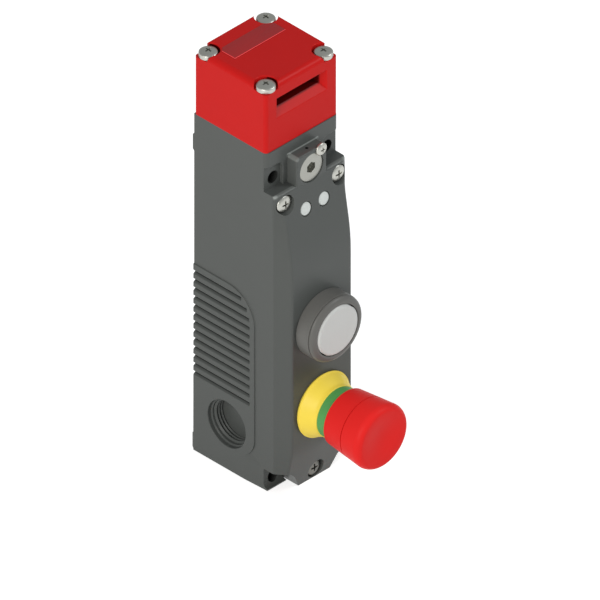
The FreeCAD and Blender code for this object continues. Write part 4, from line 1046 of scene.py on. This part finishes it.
def cross_cut(bm, height, arm, width, depth):
    """Cuts a cross recess into the top of a screw head; the arms narrow towards their bottom."""
    for half_x, half_y in ((arm, width / 2), (width / 2, arm)):
        tool = rectangle(half_x * MM, half_y * MM, (height - depth) * MM, (height + 1.0) * MM)
        for vertex in tool.verts:
            if vertex.co.z < height * MM:
                vertex.co.x *= 0.55 if half_x == arm else 0.8
                vertex.co.y *= 0.55 if half_y == arm else 0.8
        bm = carved(bm, tool)
    return bm


class INTERLOCK_OT_fasteners(PieceOperator, bpy.types.Operator):
    """Add the visible screws, the release disc and the indicator windows"""
    bl_idname = "interlock.fasteners"
    bl_label = "Screws, disc and windows"

    def build(self):
        self.head_screws()
        self.cover_screws()
        self.tamper_screw()
        self.disc()
        self.windows()

    def row(self, name, node, profile, recess, places, axis, finish=None):
        """One piece with a screw at each place; the places are the seats of the heads."""
        parts = []
        for place in places:
            bm = cross_cut(turned(profile, (0, 0, 0), UP, self.fasteners.steps), *recess)
            parts.append(moved(bm, Matrix.Translation(place) @ turn_to(axis)))
        add_piece(name, joined(*parts), "housing", "zinc_steel", 30.0, (node,), finish)

    def head_screws(self):
        low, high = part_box("head_screws")
        height, seat = 2.9, high.z - 3.5 * MM
        profile = screw(HEAD_SCREW_RADIUS, 1.8, height, 1.95, (seat - low.z) / MM)
        places = [(x, y, seat) for x, y in head_screw_places()]
        self.row("head_screw_set", "head_screws", profile, (height, 2.0, 0.75, 1.1), places, UP)

    def cover_screws(self):
        low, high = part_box("cover_screws")
        cad_radius, radius, height = 3.45, 3.8, 3.2
        x, z = high.x - cad_radius * MM, high.z - cad_radius * MM
        upper, lower, chin = -43.5 * MM, low.y + 2.4 * MM, low.z + cad_radius * MM
        for name, seat, places, finish in (
                ("cover_screw_set", upper, [(-x, upper, z), (x, upper, z)], None),
                # The chin screw takes the darker zinc, which paints the shade of its deep hole.
                ("chin_screw", lower, [(0, lower, chin)], "sheltered_zinc")):
            profile = screw(radius, 1.9, height, 1.75, (high.y - seat) / MM)
            self.row(name, "cover_screws", profile, (height, 2.2, 0.85, 1.5), places, FRONT, finish)

    def tamper_screw(self):
        low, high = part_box("tamper_screw")
        centre, height = middle("tamper_screw"), 1.5
        seat = low.y + height * MM
        profile = screw((high.x - low.x) / 2 / MM, 0.5, height, 1.45, (high.y - seat) / MM)
        self.row("tamper_screw_set", "tamper_screw", profile, (height, 1.5, 0.6, 0.9),
                 [(centre.x, seat, centre.z)], FRONT)

    def disc(self):
        low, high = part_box("release_disc")
        centre = (low + high) / 2
        radius, thickness = (high.x - low.x) / 2 / MM, (high.y - low.y) / MM
        profile = [(0, 0, 0), (radius - 0.2, 0, 0), (radius, 0.2, 0), (radius, thickness - 0.55, 0)]
        profile += arc(radius - 0.55, thickness - 0.55, 0.55, 0.55, 15, 90, 5) + [(0, thickness, 0)]
        socket = column(6, 2.2 * MM / math.cos(math.pi / 6), 6 * MM)
        bm = carved(turned(metres(profile), (0, 0, 0), UP), socket)
        bm = moved(bm, Matrix.Translation((centre.x, high.y, centre.z)) @ turn_to(FRONT))
        add_piece("release_disc_face", bm, "release", "zinc_steel", 30.0, ("release_disc",),
                  "turned_zinc")

    def windows(self):
        low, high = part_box("led_windows")
        lean = math.atan(5.7 / 32.0)
        axis = Vector((0, -math.cos(lean), math.sin(lean)))
        radius, flange, depth, seat = 3.1, 3.6, 2.85, 2.05
        z = high.z - (flange * math.cos(lean) - (seat + 0.1) * math.sin(lean)) * MM
        y = low.y + radius * math.sin(lean) * MM
        pane = 2.88
        profile = [(0, -depth, 0), (flange, -depth, 0), (flange, -seat, 0), (pane, -seat, 0),
                   (pane, -0.7, 0)] + arc(pane - 0.45, -0.7, 0.45, 0.35, 10, 90, 4)
        profile += [(pane * 0.5, -0.28, 0), (0, -0.25, 0)]
        parts = [turned(metres(profile), (x, y, z), axis, 64)
                 for x in (low.x + flange * MM, high.x - flange * MM)]
        add_piece("window_pair", joined(*parts), "housing", "window_white", 30.0, ("led_windows",))


class INTERLOCK_OT_inner_parts(PieceOperator, bpy.types.Operator):
    """Give every remaining piece its finish"""
    bl_idname = "interlock.inner_parts"
    bl_label = "Inner parts"

    def build(self):
        slots = {entry["node"]: entry["material_slot"] for entry in frame["record"]["subparts"]}
        for name, node in frame["nodes"].items():
            node.data.materials.clear()
            node.data.materials.append(finishes[slots[name]])


class INTERLOCK_PT_panel(bpy.types.Panel):
    """The pieces of the switch and their sizes"""
    bl_label = "Tongue interlock switch"
    bl_space_type = "VIEW_3D"
    bl_region_type = "UI"
    bl_category = "Interlock"

    def draw(self, context):
        for operator in operators:
            self.layout.operator(operator.bl_idname)
        for name, settings in setting_groups.items():
            group = self.layout.column(align=True)
            for key in settings.__annotations__:
                group.prop(getattr(context.scene, name), key)


setting_groups = {
    "interlock_housing": HousingSettings,
    "interlock_fasteners": FastenerSettings,
    "interlock_controls": ControlSettings,
    "interlock_stage": StageSettings,
}
operators = (
    INTERLOCK_OT_inner_parts,
    INTERLOCK_OT_housing,
    INTERLOCK_OT_cover,
    INTERLOCK_OT_head,
    INTERLOCK_OT_fasteners,
    INTERLOCK_OT_button,
    INTERLOCK_OT_emergency_stop,
    INTERLOCK_OT_stage,
)


def register():
    for kind in (*setting_groups.values(), *operators, INTERLOCK_PT_panel):
        bpy.utils.register_class(kind)
    for name, settings in setting_groups.items():
        setattr(bpy.types.Scene, name, PointerProperty(type=settings))


def unregister():
    for name in setting_groups:
        delattr(bpy.types.Scene, name)
    for kind in (INTERLOCK_PT_panel, *reversed(operators), *setting_groups.values()):
        bpy.utils.unregister_class(kind)


def main():
    register()
    for operator in operators:
        group, name = operator.bl_idname.split(".")
        getattr(getattr(bpy.ops, group), name)()


if __name__ == "__main__":
    main()
